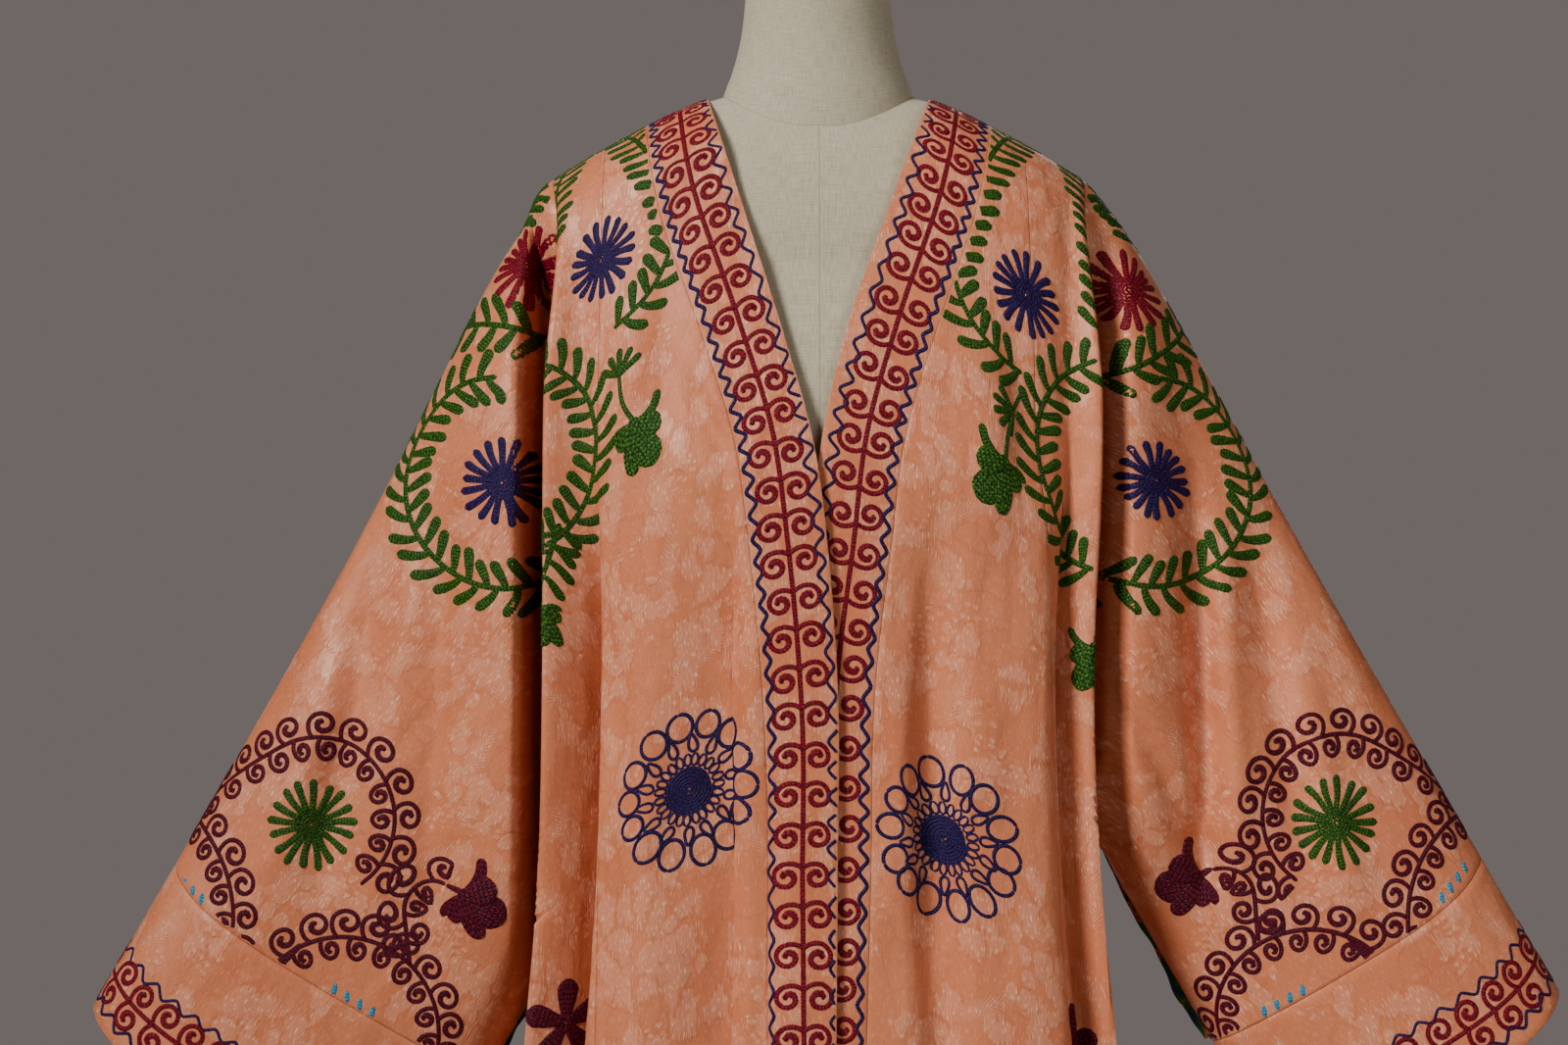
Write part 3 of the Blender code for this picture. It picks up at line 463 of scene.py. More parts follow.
def tube(side, share, face, length):
    """A point of the sleeve's outer face: share across from the top fold, face, and length down it."""
    top, axis, inward = sleeve_axes(side)
    down = share * SLEEVE_WIDTH[side]
    thick = SLEEVE_THICK + (CUFF_THICK - SLEEVE_THICK) * length / CUFF_END[side]
    bulge = SHOULDER_BULGE[side] * length / BULGE_LENGTH * np.exp(1 - length / BULGE_LENGTH)
    bulge = bulge * np.clip(1 - down / 0.12, 0, 1) ** 2
    points = top + length[..., None] * axis + (down - bulge)[..., None] * inward
    points[..., 1] += face * thick * section(share)
    points[..., 1] += face * sleeve_fold(side, face, points) * ease(section(share) * 1.4)
    return points


def cuff_dip(side, share):
    return CUFF_DIP * (1 - np.exp(-share * SLEEVE_WIDTH[side] / CUFF_DIP_WIDTH))


def rim(side, share, face):
    """The armhole's edge at the same height as a place across the sleeve."""
    foot = fall_at(UNDERARM_Z[side], math.pi / 2)
    fall = foot * (1 - np.cos(np.linspace(0, math.pi, 200))) / 2
    height = body(side * arm_line(side, fall), fall)[:, 2]
    fall = np.interp(share, (height[0] - height) / (height[0] - height[-1]), fall)
    angle = arm_line(side, fall)
    angle = side * np.where(face < 0, angle, math.pi - angle)
    return body(angle, fall) + (side * 0.0003, 0, 0.0002)


def sleeve_start(side, share):
    return share * SLEEVE_WIDTH[side] / math.tan(SLEEVE_TILT)


def sleeve_face(side, share, face, length):
    """The sleeve's surface, which turns from the armhole's shape into the tube's."""
    start, end = sleeve_start(side, share), CUFF_SEAM[side] + cuff_dip(side, share)
    blend = np.minimum(SLEEVE_BLEND, (end - start) * 0.9)
    away = rim(side, share, face) - tube(side, share, face, start)
    return tube(side, share, face, length) + away * (1 - ease((length - start) / blend))[..., None]


HALF_TURN = (1 - np.cos(np.linspace(0, math.pi, 400))) / 2


def girth(side):
    """Runs round the sleeve from its top fold, for the shares in HALF_TURN."""
    flat = np.stack((HALF_TURN * SLEEVE_WIDTH[side], 0.05 * section(HALF_TURN)), -1)
    return run_along(flat)


def lay_sleeve(side):
    """u is the run round the sleeve from its top fold, less than 0 behind; v is the length down it."""
    runs = girth(side)

    def surface(u, v):
        over = np.where(np.abs(u) > runs[-1], np.sign(u) * (2 * runs[-1] - np.abs(u)) * -1, u)
        face = np.where(over >= 0, -1, 1)
        share = np.interp(np.abs(over), runs, HALF_TURN)
        return sleeve_face(side, share, face, v)

    def lay(u, v):
        step = 4e-4
        points = surface(u, v)
        around = surface(u + step, v) - surface(u - step, v)
        down = surface(u, v + step) - surface(u, v - step)
        normal = np.cross(around, down) * side
        return points, normal / np.linalg.norm(normal, axis=-1)[..., None]

    return lay


# ---------------------------------------------------------------- The linen form
# A limbless dress form: a padded torso and a long neck under one tight cover of slubby ivory linen.
# A seam runs round the foot of the neck and another down the middle of the chest.
FORM_RINGS = (
    # height, half-width, depth in front and behind, squareness
    (0.700, 0.160, 0.098, 0.102, 2.3),
    (0.712, 0.168, 0.106, 0.110, 2.3),
    (0.800, 0.170, 0.106, 0.110, 2.3),
    (0.900, 0.156, 0.100, 0.096, 2.2),
    (1.000, 0.126, 0.092, 0.082, 2.2),
    (1.060, 0.128, 0.096, 0.082, 2.2),
    (1.170, 0.152, 0.122, 0.096, 2.5),
    (1.250, 0.160, 0.112, 0.096, 2.6),
    (1.310, 0.168, 0.094, 0.086, 2.6),
)
NECK = (
    # height, half-width, half-depth, middle's y
    (1.395, 0.0800, 0.066, 0.010),
    (1.425, 0.0760, 0.064, 0.009),
    (1.442, 0.0715, 0.062, 0.008),
    (1.458, 0.0655, 0.060, 0.007),
    (1.480, 0.0595, 0.057, 0.004),
    (1.510, 0.0555, 0.055, 0.000),
    (1.553, 0.0545, 0.054, -0.003),
    (1.563, 0.0515, 0.051, -0.003),
    (1.566, 0.0460, 0.0455, -0.003),
)


def grid_object(name, points, uv, material, closed=False):
    """A grid of rows and columns of points, with its flat places as the UV map, in metres."""
    bpy.ops.object.select_all(action="DESELECT")
    rows, columns = points.shape[:2]
    bpy.ops.mesh.primitive_grid_add(x_subdivisions=columns - 1, y_subdivisions=rows - 1, size=1.0)
    thing = bpy.context.object
    thing.name = thing.data.name = name
    mesh = thing.data
    mesh.vertices.foreach_set("co", points.reshape(-1).astype(np.float32))
    corners = np.empty(len(mesh.loops), dtype=np.int32)
    mesh.loops.foreach_get("vertex_index", corners)
    layer = mesh.uv_layers[0] if mesh.uv_layers else mesh.uv_layers.new(name="flat")
    layer.data.foreach_set("uv", uv.reshape(-1, 2)[corners].reshape(-1).astype(np.float32))
    mesh.update()
    mesh.materials.append(material)
    if closed:
        bpy.ops.object.mode_set(mode="EDIT")
        bpy.ops.mesh.select_all(action="SELECT")
        bpy.ops.mesh.remove_doubles(threshold=1e-5)
        bpy.ops.object.mode_set(mode="OBJECT")
    bpy.ops.object.shade_smooth()
    return thing


def cap_ends(thing, heights):
    """Closes the open rings of a form piece at these heights."""
    bm = bmesh.new()
    bm.from_mesh(thing.data)
    for height in heights:
        ring = [e for e in bm.edges if e.is_boundary and all(abs(v.co.z - height) < 1e-4 for v in e.verts)]
        bmesh.ops.contextual_create(bm, geom=ring)
    bmesh.ops.recalc_face_normals(bm, faces=bm.faces)
    bm.to_mesh(thing.data)
    bm.free()


# Plain-woven linen: warp and weft threads about 0.6 mm apart with slubs, and faint mottling.
linen, tree, shader = new_material("ivory linen")
place = add_node(tree, "UVMap")
warp_place = add_node(tree, "Mapping", {"Vector": place}, Scale=(1600.0, 90.0, 1.0))
weft_place = add_node(tree, "Mapping", {"Vector": place}, Scale=(90.0, 1600.0, 1.0))
warp = add_node(tree, "TexNoise", {"Vector": warp_place}, Scale=1.0, Detail=2.0)
weft = add_node(tree, "TexNoise", {"Vector": weft_place}, Scale=1.0, Detail=2.0)
weave = add_node(tree, "Math", {0: warp, 1: weft}, operation="ADD")
cloud_place = add_node(tree, "Mapping", {"Vector": place}, Scale=(9.0, 9.0, 1.0))
cloud = add_node(tree, "TexNoise", {"Vector": cloud_place}, Scale=1.0, Detail=3.0)
ramp = add_node(tree, "MapRange", {"Value": weave, "From Min": 0.75, "From Max": 1.25})
threads = add_node(tree, "Mix", {0: ramp, 6: linear("#a49a83"), 7: linear("#c3b9a0")}, data_type="RGBA")
shades = {0: cloud, 6: threads.outputs[2], 7: linear("#f3efe6")}
aged = add_node(tree, "Mix", shades, data_type="RGBA", blend_type="MULTIPLY")
bump = add_node(tree, "Bump", {"Height": weave}, Strength=0.35, Distance=0.0006)
fill(shader, {"Base Color": aged.outputs[2], "Normal": bump, "Roughness": 0.92, "Sheen Weight": 0.15})

FORM_COLUMNS = 144
turns = np.linspace(-math.pi, math.pi, FORM_COLUMNS + 1)[None, :]
low = np.linspace(FORM_RINGS[0][0], FORM_RINGS[-1][0], 90)[:, None]
rings = (through(low, column(FORM_RINGS, 0), column(FORM_RINGS, i)) for i in (1, 2, 3, 4))
wide, before, behind, square = rings
deep = np.where(np.abs(turns) > math.pi / 2, behind, before)
x = wide * power(np.sin(turns), 2 / square)
y = RIDGE_Y - deep * power(np.cos(turns), 2 / square)
torso = np.stack((x, y, low + 0 * x), -1)
rise = np.linspace(0, math.pi / 2, 34)[1:, None]
top = through(np.abs(x[-1]), column(RIDGE, 0), column(RIDGE, 1)) - (WALL + 0.0004) * 1.13
roof_y = RIDGE_Y + (y[-1] - RIDGE_Y) * np.cos(rise)
roof_z = low[-1] + (top - low[-1]) * np.sin(rise)
roof = np.stack((np.broadcast_to(x[-1], roof_y.shape), roof_y, roof_z), -1)
torso = np.concatenate((torso, roof))
down = np.concatenate((low[:, 0], low[-1, 0] + rise[:, 0] * 0.14))
uv = np.stack((turns * 0.15 + 0 * down[:, None], down[:, None] + 0 * turns), -1)
form = grid_object("linen_torso", torso, uv, linen, closed=True)
cap_ends(form, (FORM_RINGS[0][0],))

heights = np.linspace(NECK[0][0], NECK[-1][0], 90)[:, None]
turns = np.linspace(0, 2 * math.pi, 97)[None, :]
wide, deep, middle = (through(heights, column(NECK, 0), column(NECK, i)) for i in (1, 2, 3))
neck = np.stack((wide * np.cos(turns), middle + deep * np.sin(turns), heights + 0 * turns), -1)
uv = np.stack((turns * 0.06 + 0 * heights, heights + 0 * turns), -1)
neck_piece = grid_object("linen_neck", neck, uv, linen, closed=True)
cap_ends(neck_piece, (NECK[0][0], NECK[-1][0]))

# The seams show as narrow pressed lines: where the neck meets the shoulders, and down the chest.
seam_linen, tree, shader = new_material("pressed linen seam")
fill(shader, {"Base Color": linear("#979079"), "Roughness": 0.95})
SEAM_HALF, SEAM_SUNK, SEAM_PROUD = 0.0008, -0.0003, 0.0004
chest_z, chest_before, chest_behind = FORM_RINGS[-1][0], FORM_RINGS[-1][2], FORM_RINGS[-1][3]
turn = np.linspace(0, 2 * math.pi, 161)
height = np.full(turn.shape, 1.42)
for _ in range(30):
    wide, deep, middle = (through(height, column(NECK, 0), column(NECK, i)) for i in (1, 2, 3))
    x, y = wide * np.cos(turn), middle + deep * np.sin(turn)
    reach = np.where(y < RIDGE_Y, chest_before, chest_behind)
    reach = reach * section(0.5 + np.abs(x) / FORM_RINGS[-1][1] / 2)
    ridge = through(np.abs(x), column(RIDGE, 0), column(RIDGE, 1)) - WALL - 0.0004
    slope = np.sqrt(np.clip(1 - ((y - RIDGE_Y) / reach) ** 2, 0, 1))
    height = height * 0.5 + (chest_z + (ridge - chest_z) * slope) * 0.5
neck_line = np.stack((x, y, height), -1)
neck_out = np.stack((np.cos(turn), np.sin(turn), 0.5 + 0 * turn), -1)
chest_line = torso[:, FORM_COLUMNS // 2]
chest_line = chest_line[(chest_line[:, 2] > 1.12) & (chest_line[:, 1] < y.min() + 0.004)]
chest_out = np.stack((0 * chest_line[:, 0], -np.ones(len(chest_line)), 0.3 + 0 * chest_line[:, 0]), -1)
seam_pieces = []
for name, line, out, cross in (
    ("linen_neck_seam", neck_line, neck_out, np.array((0, 0, 1.0))),
    ("linen_chest_seam", chest_line, chest_out, np.array((1.0, 0, 0))),
):
    out = out / np.linalg.norm(out, axis=1)[:, None]
    profile = ((-SEAM_HALF, SEAM_SUNK), (0, SEAM_PROUD), (SEAM_HALF, SEAM_SUNK))
    strip = np.stack([line + out * rise + cross * aside for aside, rise in profile], 1)
    seam_pieces.append(grid_object(name, strip, np.zeros(strip.shape[:2] + (2,)), seam_linen))
for piece in (form, neck_piece, *seam_pieces):
    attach(piece, "root")
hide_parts("form_torso")
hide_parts("form_torso")

# ---------------------------------------------------------------- The steel stand
# A turned steel socket under the torso, a plain tube and a round base, brushed and lacquered.
steel, tree, shader = new_material("brushed steel")
place = add_node(tree, "TexCoord")
stretch = add_node(tree, "Mapping", {"Vector": place.outputs["Object"]}, Scale=(30.0, 30.0, 900.0))
grain = add_node(tree, "TexNoise", {"Vector": stretch}, Scale=1.0, Detail=3.0)
shine = add_node(tree, "MapRange", {"Value": grain, "To Min": 0.26, "To Max": 0.42})
brushing = add_node(tree, "Bump", {"Height": grain}, Strength=0.06, Distance=0.0005)
fill(shader, {"Base Color": linear("#a9a9a8"), "Metallic": 1.0, "Roughness": shine, "Normal": brushing})
for name in ("base", "pole", "pole_socket"):
    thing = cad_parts[name]
    thing.data.materials.clear()
    thing.data.materials.append(steel)

# ---------------------------------------------------------------- The silk
# Salmon satin with a self-coloured figured weave: fronds about 74 mm apart, clusters of small petals
# and large leaves, whose threads lie the other way and so catch the light differently.
silk, tree, shader = new_material("salmon figured silk")
place = add_node(tree, "UVMap")
wander = add_node(tree, "TexNoise", {"Vector": place}, Scale=22.0, Detail=1.0)
centred = add_node(tree, "VectorMath", {0: wander.outputs["Color"], 1: (0.5, 0.5, 0.5)}, operation="SUBTRACT")
shift = add_node(tree, "VectorMath", {0: centred, "Scale": 0.016}, operation="SCALE")
bent = add_node(tree, "VectorMath", {0: place, 1: shift}, operation="ADD")
# Single warp threads run down the cloth, so the edges of each figure look combed.
thread_place = add_node(tree, "Mapping", {"Vector": place}, Scale=(620.0, 75.0, 1.0))
ragged = add_node(tree, "TexNoise", {"Vector": thread_place}, Scale=1.0, Detail=1.0)
torn = add_node(tree, "Math", {0: ragged, 1: 0.55, 2: -0.27}, operation="MULTIPLY_ADD")
# One frond to a cell about this far apart, turned at random: a long oval cut by slanting barbs.
FROND_SPACING, FROND_LONG, FROND_WIDE, BARB = 0.074, 0.026, 0.0080, 0.0032
cells = {"Vector": bent, "Scale": 1 / FROND_SPACING, "Randomness": 0.75}
cell = add_node(tree, "TexVoronoi", cells, voronoi_dimensions="2D")
off = add_node(tree, "VectorMath", {0: bent, 1: cell.outputs["Position"]}, operation="SUBTRACT")
chance = add_node(tree, "SeparateColor", {0: cell.outputs["Color"]})
spin = add_node(tree, "Math", {0: chance, 1: 3.0}, operation="MULTIPLY")
round_off = add_node(tree, "VectorRotate", {"Vector": off, "Angle": spin}, rotation_type="Z_AXIS")
axes = add_node(tree, "SeparateXYZ", {0: round_off})
across = add_node(tree, "Math", {0: axes.outputs["Y"]}, operation="ABSOLUTE")
x = add_node(tree, "Math", {0: axes, 1: FROND_LONG}, operation="DIVIDE")
y = add_node(tree, "Math", {0: axes.outputs["Y"], 1: FROND_WIDE}, operation="DIVIDE")
xx = add_node(tree, "Math", {0: x, 1: x}, operation="MULTIPLY")
far = add_node(tree, "Math", {0: y, 1: y, 2: xx}, operation="MULTIPLY_ADD")
slant = add_node(tree, "Math", {0: across, 1: 1.15, 2: axes}, operation="MULTIPLY_ADD")
beat = add_node(tree, "Math", {0: slant, 1: 6.283 / BARB}, operation="MULTIPLY")
wave = add_node(tree, "Math", {0: beat}, operation="COSINE")
barbed = add_node(tree, "Math", {0: wave, 1: 0.5, 2: 0.62}, operation="MULTIPLY_ADD")
within = add_node(tree, "Math", {0: barbed, 1: far}, operation="SUBTRACT")
inked = {"Value": within, "From Min": -0.03, "From Max": 0.12}
frond = add_node(tree, "MapRange", inked, interpolation_type="SMOOTHSTEP")
# Petals or seeds that almost touch, gathered in clusters with bare ground between.
PETALS = (
    # how many to the metre across and down, clusters to the metre, where a cluster starts, petal's reach
    ((80.0, 58.0, 1.0), 15.0, 0.57, 0.46),
    ((120.0, 165.0, 1.0), 19.0, 0.61, 0.33),
)
clusters = []
for scale, grouping, limit, reach in PETALS:
    petal_place = add_node(tree, "Mapping", {"Vector": bent}, Scale=scale)
    cells = {"Vector": petal_place, "Scale": 1.0, "Randomness": 0.85}
    petal = add_node(tree, "TexVoronoi", cells, voronoi_dimensions="2D")
    edge = add_node(tree, "Math", {0: torn, 1: 0.45, 2: reach}, operation="MULTIPLY_ADD")
    within = add_node(tree, "Math", {0: edge, 1: petal}, operation="SUBTRACT")
    inked = {"Value": within, "From Min": -0.02, "From Max": 0.07}
    shape = add_node(tree, "MapRange", inked, interpolation_type="SMOOTHSTEP")
    cluster = add_node(tree, "TexNoise", {"Vector": place}, Scale=grouping, Detail=0.5)
    grouped = {"Value": cluster, "From Min": limit, "From Max": limit + 0.03}
    chosen = add_node(tree, "MapRange", grouped, interpolation_type="SMOOTHSTEP")
    clusters.append(add_node(tree, "Math", {0: shape, 1: chosen}, operation="MULTIPLY"))
# Large leaves: some of the patches between wandering lines are filled, and some are only outlined in twill.
lobes = add_node(tree, "TexNoise", {"Vector": place}, Scale=105.0, Detail=1.5)
pushed = {0: lobes.outputs["Color"], 1: (0.011, 0.011, 0.0), 2: bent}
lobed = add_node(tree, "VectorMath", pushed, operation="MULTIPLY_ADD")
leaf_place = add_node(tree, "Mapping", {"Vector": lobed}, Scale=(54.0, 36.0, 1.0))
cells = {"Vector": leaf_place, "Scale": 1.0, "Randomness": 1.0}
leaf = add_node(tree, "TexVoronoi", cells, voronoi_dimensions="2D")
margin = add_node(tree, "TexVoronoi", cells, voronoi_dimensions="2D", feature="DISTANCE_TO_EDGE")
kind = add_node(tree, "SeparateColor", {0: leaf.outputs["Color"]})
filled = add_node(tree, "Math", {0: kind, 1: 0.60}, operation="GREATER_THAN")
serrated = add_node(tree, "Math", {0: torn, 1: 1.5, 2: margin}, operation="MULTIPLY_ADD")
inked = {"Value": serrated, "From Min": 0.06, "From Max": 0.15}
leaf_shape = add_node(tree, "MapRange", inked, interpolation_type="SMOOTHSTEP")
leaves = add_node(tree, "Math", {0: leaf_shape, 1: filled}, operation="MULTIPLY")
sprays = add_node(tree, "Math", {0: frond, 1: leaves}, operation="MAXIMUM")
blooms = add_node(tree, "Math", {0: clusters[0], 1: clusters[1]}, operation="MAXIMUM")
woven = add_node(tree, "Math", {0: sprays, 1: blooms}, operation="MAXIMUM")
# The outlines are rows of slanting ticks about a millimetre apart, darker than the ground.
level = add_node(tree, "Math", {0: margin, 1: 0.035}, operation="SUBTRACT")
near = add_node(tree, "Math", {0: level}, operation="ABSOLUTE")
thin = {"Value": near, "From Min": 0.008, "From Max": 0.026, "To Min": 1.0, "To Max": 0.0}
line = add_node(tree, "MapRange", thin)
slope = add_node(tree, "VectorMath", {0: place, 1: (3900.0, 2700.0, 0.0)}, operation="DOT_PRODUCT")
twill = add_node(tree, "Math", {0: slope.outputs["Value"]}, operation="SINE")
ticks = add_node(tree, "MapRange", {"Value": twill, "From Min": -0.6, "From Max": 0.4, "To Min": 0.35})
some = add_node(tree, "Math", {0: kind.outputs[1], 1: 0.45}, operation="GREATER_THAN")
ticked = add_node(tree, "Math", {0: line, 1: ticks}, operation="MULTIPLY")
outline = add_node(tree, "Math", {0: ticked, 1: some}, operation="MULTIPLY")
# The dye has taken unevenly, and pale painted highlights, standing for glints of light on the thread floats,
# are mixed into the colour at the figures' edges.
worn_place = add_node(tree, "Mapping", {"Vector": place}, Scale=(13.0, 6.0, 1.0))
worn = add_node(tree, "TexNoise", {"Vector": worn_place}, Scale=1.0, Detail=4.0, Roughness=0.6)
float_place = add_node(tree, "Mapping", {"Vector": place}, Scale=(760.0, 190.0, 1.0))
floats = add_node(tree, "TexNoise", {"Vector": float_place}, Scale=1.0, Detail=2.0)
glint = add_node(tree, "MapRange", {"Value": floats, "From Min": 0.55, "From Max": 0.74})
edges = {"Value": woven, "From Min": 0.05, "From Max": 0.6, "To Min": 0.26, "To Max": 0.85}
at_edge = add_node(tree, "MapRange", edges)
painted_glint_mask = add_node(tree, "Math", {0: glint, 1: at_edge}, operation="MULTIPLY")
spread_dye = add_node(tree, "MapRange", {"Value": worn, "From Min": 0.3, "From Max": 0.7})
ground = add_node(tree, "Mix", {0: spread_dye, 6: linear("#c26a43"), 7: linear("#cd7952")}, data_type="RGBA")
drawn = add_node(tree, "Math", {0: outline, 1: 0.5}, operation="MULTIPLY")
lined = add_node(tree, "Mix", {0: drawn, 6: ground.outputs[2], 7: linear("#a9532f")}, data_type="RGBA")
shown = add_node(tree, "Math", {0: woven, 1: 0.31}, operation="MULTIPLY")
raised = add_node(tree, "Mix", {0: shown, 6: lined.outputs[2], 7: linear("#e09c7e")}, data_type="RGBA")
# Painted highlight: the glint mask lightens the silk's colour toward a pale cream.
lit = add_node(tree, "Mix", {0: painted_glint_mask, 6: raised.outputs[2], 7: linear("#f3c3a0")}, data_type="RGBA")
gloss = add_node(tree, "MapRange", {"Value": woven, "To Min": 0.50, "To Max": 0.40})
height = add_node(tree, "Math", {0: woven, 1: floats}, operation="ADD")
bump = add_node(tree, "Bump", {"Height": height}, Strength=0.45, Distance=0.0005)
# The cloth is a little rumpled all over, more down its length than across.
ripple_place = add_node(tree, "Mapping", {"Vector": place}, Scale=(30.0, 11.0, 1.0))
ripple = add_node(tree, "TexNoise", {"Vector": ripple_place}, Scale=1.0, Detail=2.5)
soft = add_node(tree, "Bump", {"Height": ripple, "Normal": bump}, Strength=0.8, Distance=0.0062)
fill(shader, {"Base Color": lit.outputs[2], "Roughness": gloss, "Normal": soft, "Specular IOR Level": 0.42})
fill(shader, {"Specular Tint": linear("#ffe2d4"), "Sheen Tint": linear("#f0a888")})
fill(shader, {"Sheen Weight": 0.05, "Sheen Roughness": 0.4})

CELL, EDGE_ROLL, EDGE_DROP = 0.0050, 0.0014, 0.0007
OUTER = []


def spread(width):
    """Shares across a piece of this width: even, with one more line close to each edge."""
    count = max(int(round(width / CELL)), 3)
    near = EDGE_ROLL / width
    return np.concatenate(([0.0], np.linspace(near, 1 - near, count), [1.0]))


def thicken(thing, thickness, offset):
    """Gives cloth its thickness, with smooth faces and sharp cut edges."""
    wall = thing.modifiers.new("wall", "SOLIDIFY")
    wall.thickness = thickness
    wall.offset = offset
    bpy.ops.object.modifier_apply(modifier="wall")
    bpy.ops.object.shade_smooth_by_angle(angle=math.radians(50))


def silk_piece(name, points, normals, uv, node):
    """One cut piece: its edges roll in a little, and it has the cloth's thickness."""
    points = points.copy()
    for edge in (np.s_[0], np.s_[-1], np.s_[:, 0], np.s_[:, -1]):
        # Pressed seams hardly show near the shoulders, and the hem edge rolls in fully.
        drop = EDGE_DROP * (1 - 0.8 * ease((points[edge][..., 2:] - 1.12) / 0.16))
        points[edge] -= normals[edge] * drop
    around = points[:, 1:] - points[:, :-1]
    down = points[1:] - points[:-1]
    facing = (np.cross(around[:-1], down[:, :-1]) * normals[:-1, :-1]).sum()
    if facing < 0:
        points, uv = points[::-1], uv[::-1]
    OUTER.append(points)
    thing = grid_object(name, points, uv, silk)
    # The cloth shown is a hair thinner than the solid's.
    thicken(thing, WALL - 0.0002, -1.0)
    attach(thing, "root")
    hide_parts(node)


# ---------------------------------------------------------------- Fronts and back
# Each front is a band, a middle panel and a side panel from shoulder to hem; the back has three panels.
SEAM = 0.0003
BACK_MIDDLE = {side: u_of(np.full(V_COUNT + 1, side * math.pi), V_ROWS) for side in (-1, 1)}


def from_back_middle(side, u, v):
    """Flat places on the back are measured across from its middle, where the cloth hangs straight."""
    return u - np.interp(v, V_ROWS, BACK_MIDDLE[side])


# Rows of points down a panel, with one more close to each end.
PANEL_ROWS = np.concatenate((
    [0.0, EDGE_ROLL],
    np.linspace(0.006, V_END - 0.004, 180),
    [V_END - EDGE_ROLL, V_END],
))[:, None]


def body_piece(name, low, high, side, node):
    """A panel between two lines of angles round the ring, with its flat places as UV."""
    v = PANEL_ROWS
    fall = fall_of(v)
    u_low = u_of(low(fall), v) + SEAM / 2
    u_high = u_of(high(fall), v) - SEAM / 2
    shares = spread(float((u_high - u_low).max()))[None, :]
    u = u_low + (u_high - u_low) * shares
    v = v + 0 * u
    points, normals = lay_body(side)(u, v)
    front = np.abs(turn_of(u, v)) < math.pi / 2
    points[..., 1] += np.where(v < 1e-6, np.where(front, -SEAM / 2, SEAM / 2), 0)
    across = from_back_middle(side, u, v) if node.startswith("back") else u
    silk_piece(name, points, normals, np.stack((across, -v), -1), node)


for side, word, edge, seam, panel in ((-1, "left", 1, 2, 1), (1, "right", 3, 4, 2)):
    front_edge = lambda fall: front_line(EDGES, edge, fall)
    band_seam = lambda fall: front_line(EDGES, seam, fall)
    panel_seam = lambda fall: front_line(PANEL_SEAMS, panel, fall)
    arm_edge = lambda fall: side * arm_line(side, fall)
    back_arm = lambda fall: side * (math.pi - arm_line(side, fall))
    back_seam = lambda fall: side * (math.pi - front_line(BACK_SEAMS, 1, fall))
    for part, a, b in (
        ("front_band", front_edge, band_seam),
        ("front_middle", band_seam, panel_seam),
        ("front_side", panel_seam, arm_edge),
        ("back_side", back_arm, back_seam),
    ):
        low, high = (a, b) if side > 0 else (b, a)
        body_piece(f"silk_{part}_{word}", low, high, side, f"{part}_{word}")


def back_x(angle):
    return RINGS[0][1] * np.abs(np.sin(angle)) ** (2 / OVAL)


def lean(x):
    """The angle from straight behind or before of a place across the shoulders."""
    return np.arcsin((np.abs(x) / RINGS[0][1]) ** (OVAL / 2))


def neck_fall(x, share):
    """Fall of the line that is this share across the neck band, at a place across the back."""
    reach = BAND_TOP_IN + (BAND_TOP_OUT - BAND_TOP_IN) * share
    run = (NECK_BACK_DROP + BAND_WIDTH * share) * np.sqrt(np.clip(1 - (x / reach) ** 2, 0, 1))
    return fall_of(run)


# The middle of the back hangs from the outer edge of the neck band.
NECK_COLUMNS = 44
across = BAND_TOP_OUT * -np.cos(np.linspace(0, math.pi, NECK_COLUMNS + 1))
back_seam = lambda fall: front_line(BACK_SEAMS, 1, fall)
shares = np.sign(across) * lean(across) / back_seam(np.zeros(1))[0]
outer = np.array([0.9, 0.95, 0.992, 1.0])
shares = np.concatenate((-outer[::-1], shares, outer))
turns = math.pi + back_seam(fall_of(PANEL_ROWS)) * shares[None, :]
first = run_of(neck_fall(back_x(turns[0]), 1.0))
v = first + (V_END - first) * PANEL_ROWS / V_END
u = u_of(turns, v)
u[:, 0] += SEAM / 2
u[:, -1] -= SEAM / 2
points, normals = lay_body(0)(u, v)
points[0, :, 1] += np.where(v[0] < 1e-6, SEAM / 2, 0)
uv = np.stack((from_back_middle(1, u, v), -v), -1)
silk_piece("silk_back_middle", points, normals, uv, "back_middle")

# ---------------------------------------------------------------- Neck band
# The fronts' bands go on round the back of the neck as one curved strip, cut on its own.
turn = np.linspace(0, math.pi, 2 * NECK_COLUMNS + 1)[None, :]
share = np.array([0.9955, 0.97, 0.85, 0.7, 0.55, 0.4, 0.28, 0.15, 0.03, 0.0])[:, None]
x = -(BAND_TOP_IN + (BAND_TOP_OUT - BAND_TOP_IN) * share) * np.cos(turn)
fall = neck_fall(x, share)
fall[:, 0] = fall[:, -1] = 0
angle = np.where(x < 0, -1, 1) * (math.pi - lean(x))
points, normals = body(angle, fall), outward(angle, fall)
points[..., 1] += np.where(fall < 1e-6, SEAM / 2, 0)
middle_run = run_along(points[5])
uv = np.stack((middle_run[None, :] + 0 * share, -share * BAND_WIDTH + 0 * turn), -1)
NECK_TURNS, NECK_RUN = turn[0], middle_run
silk_piece("silk_neck_band", points, normals, uv, "neck_band_back")

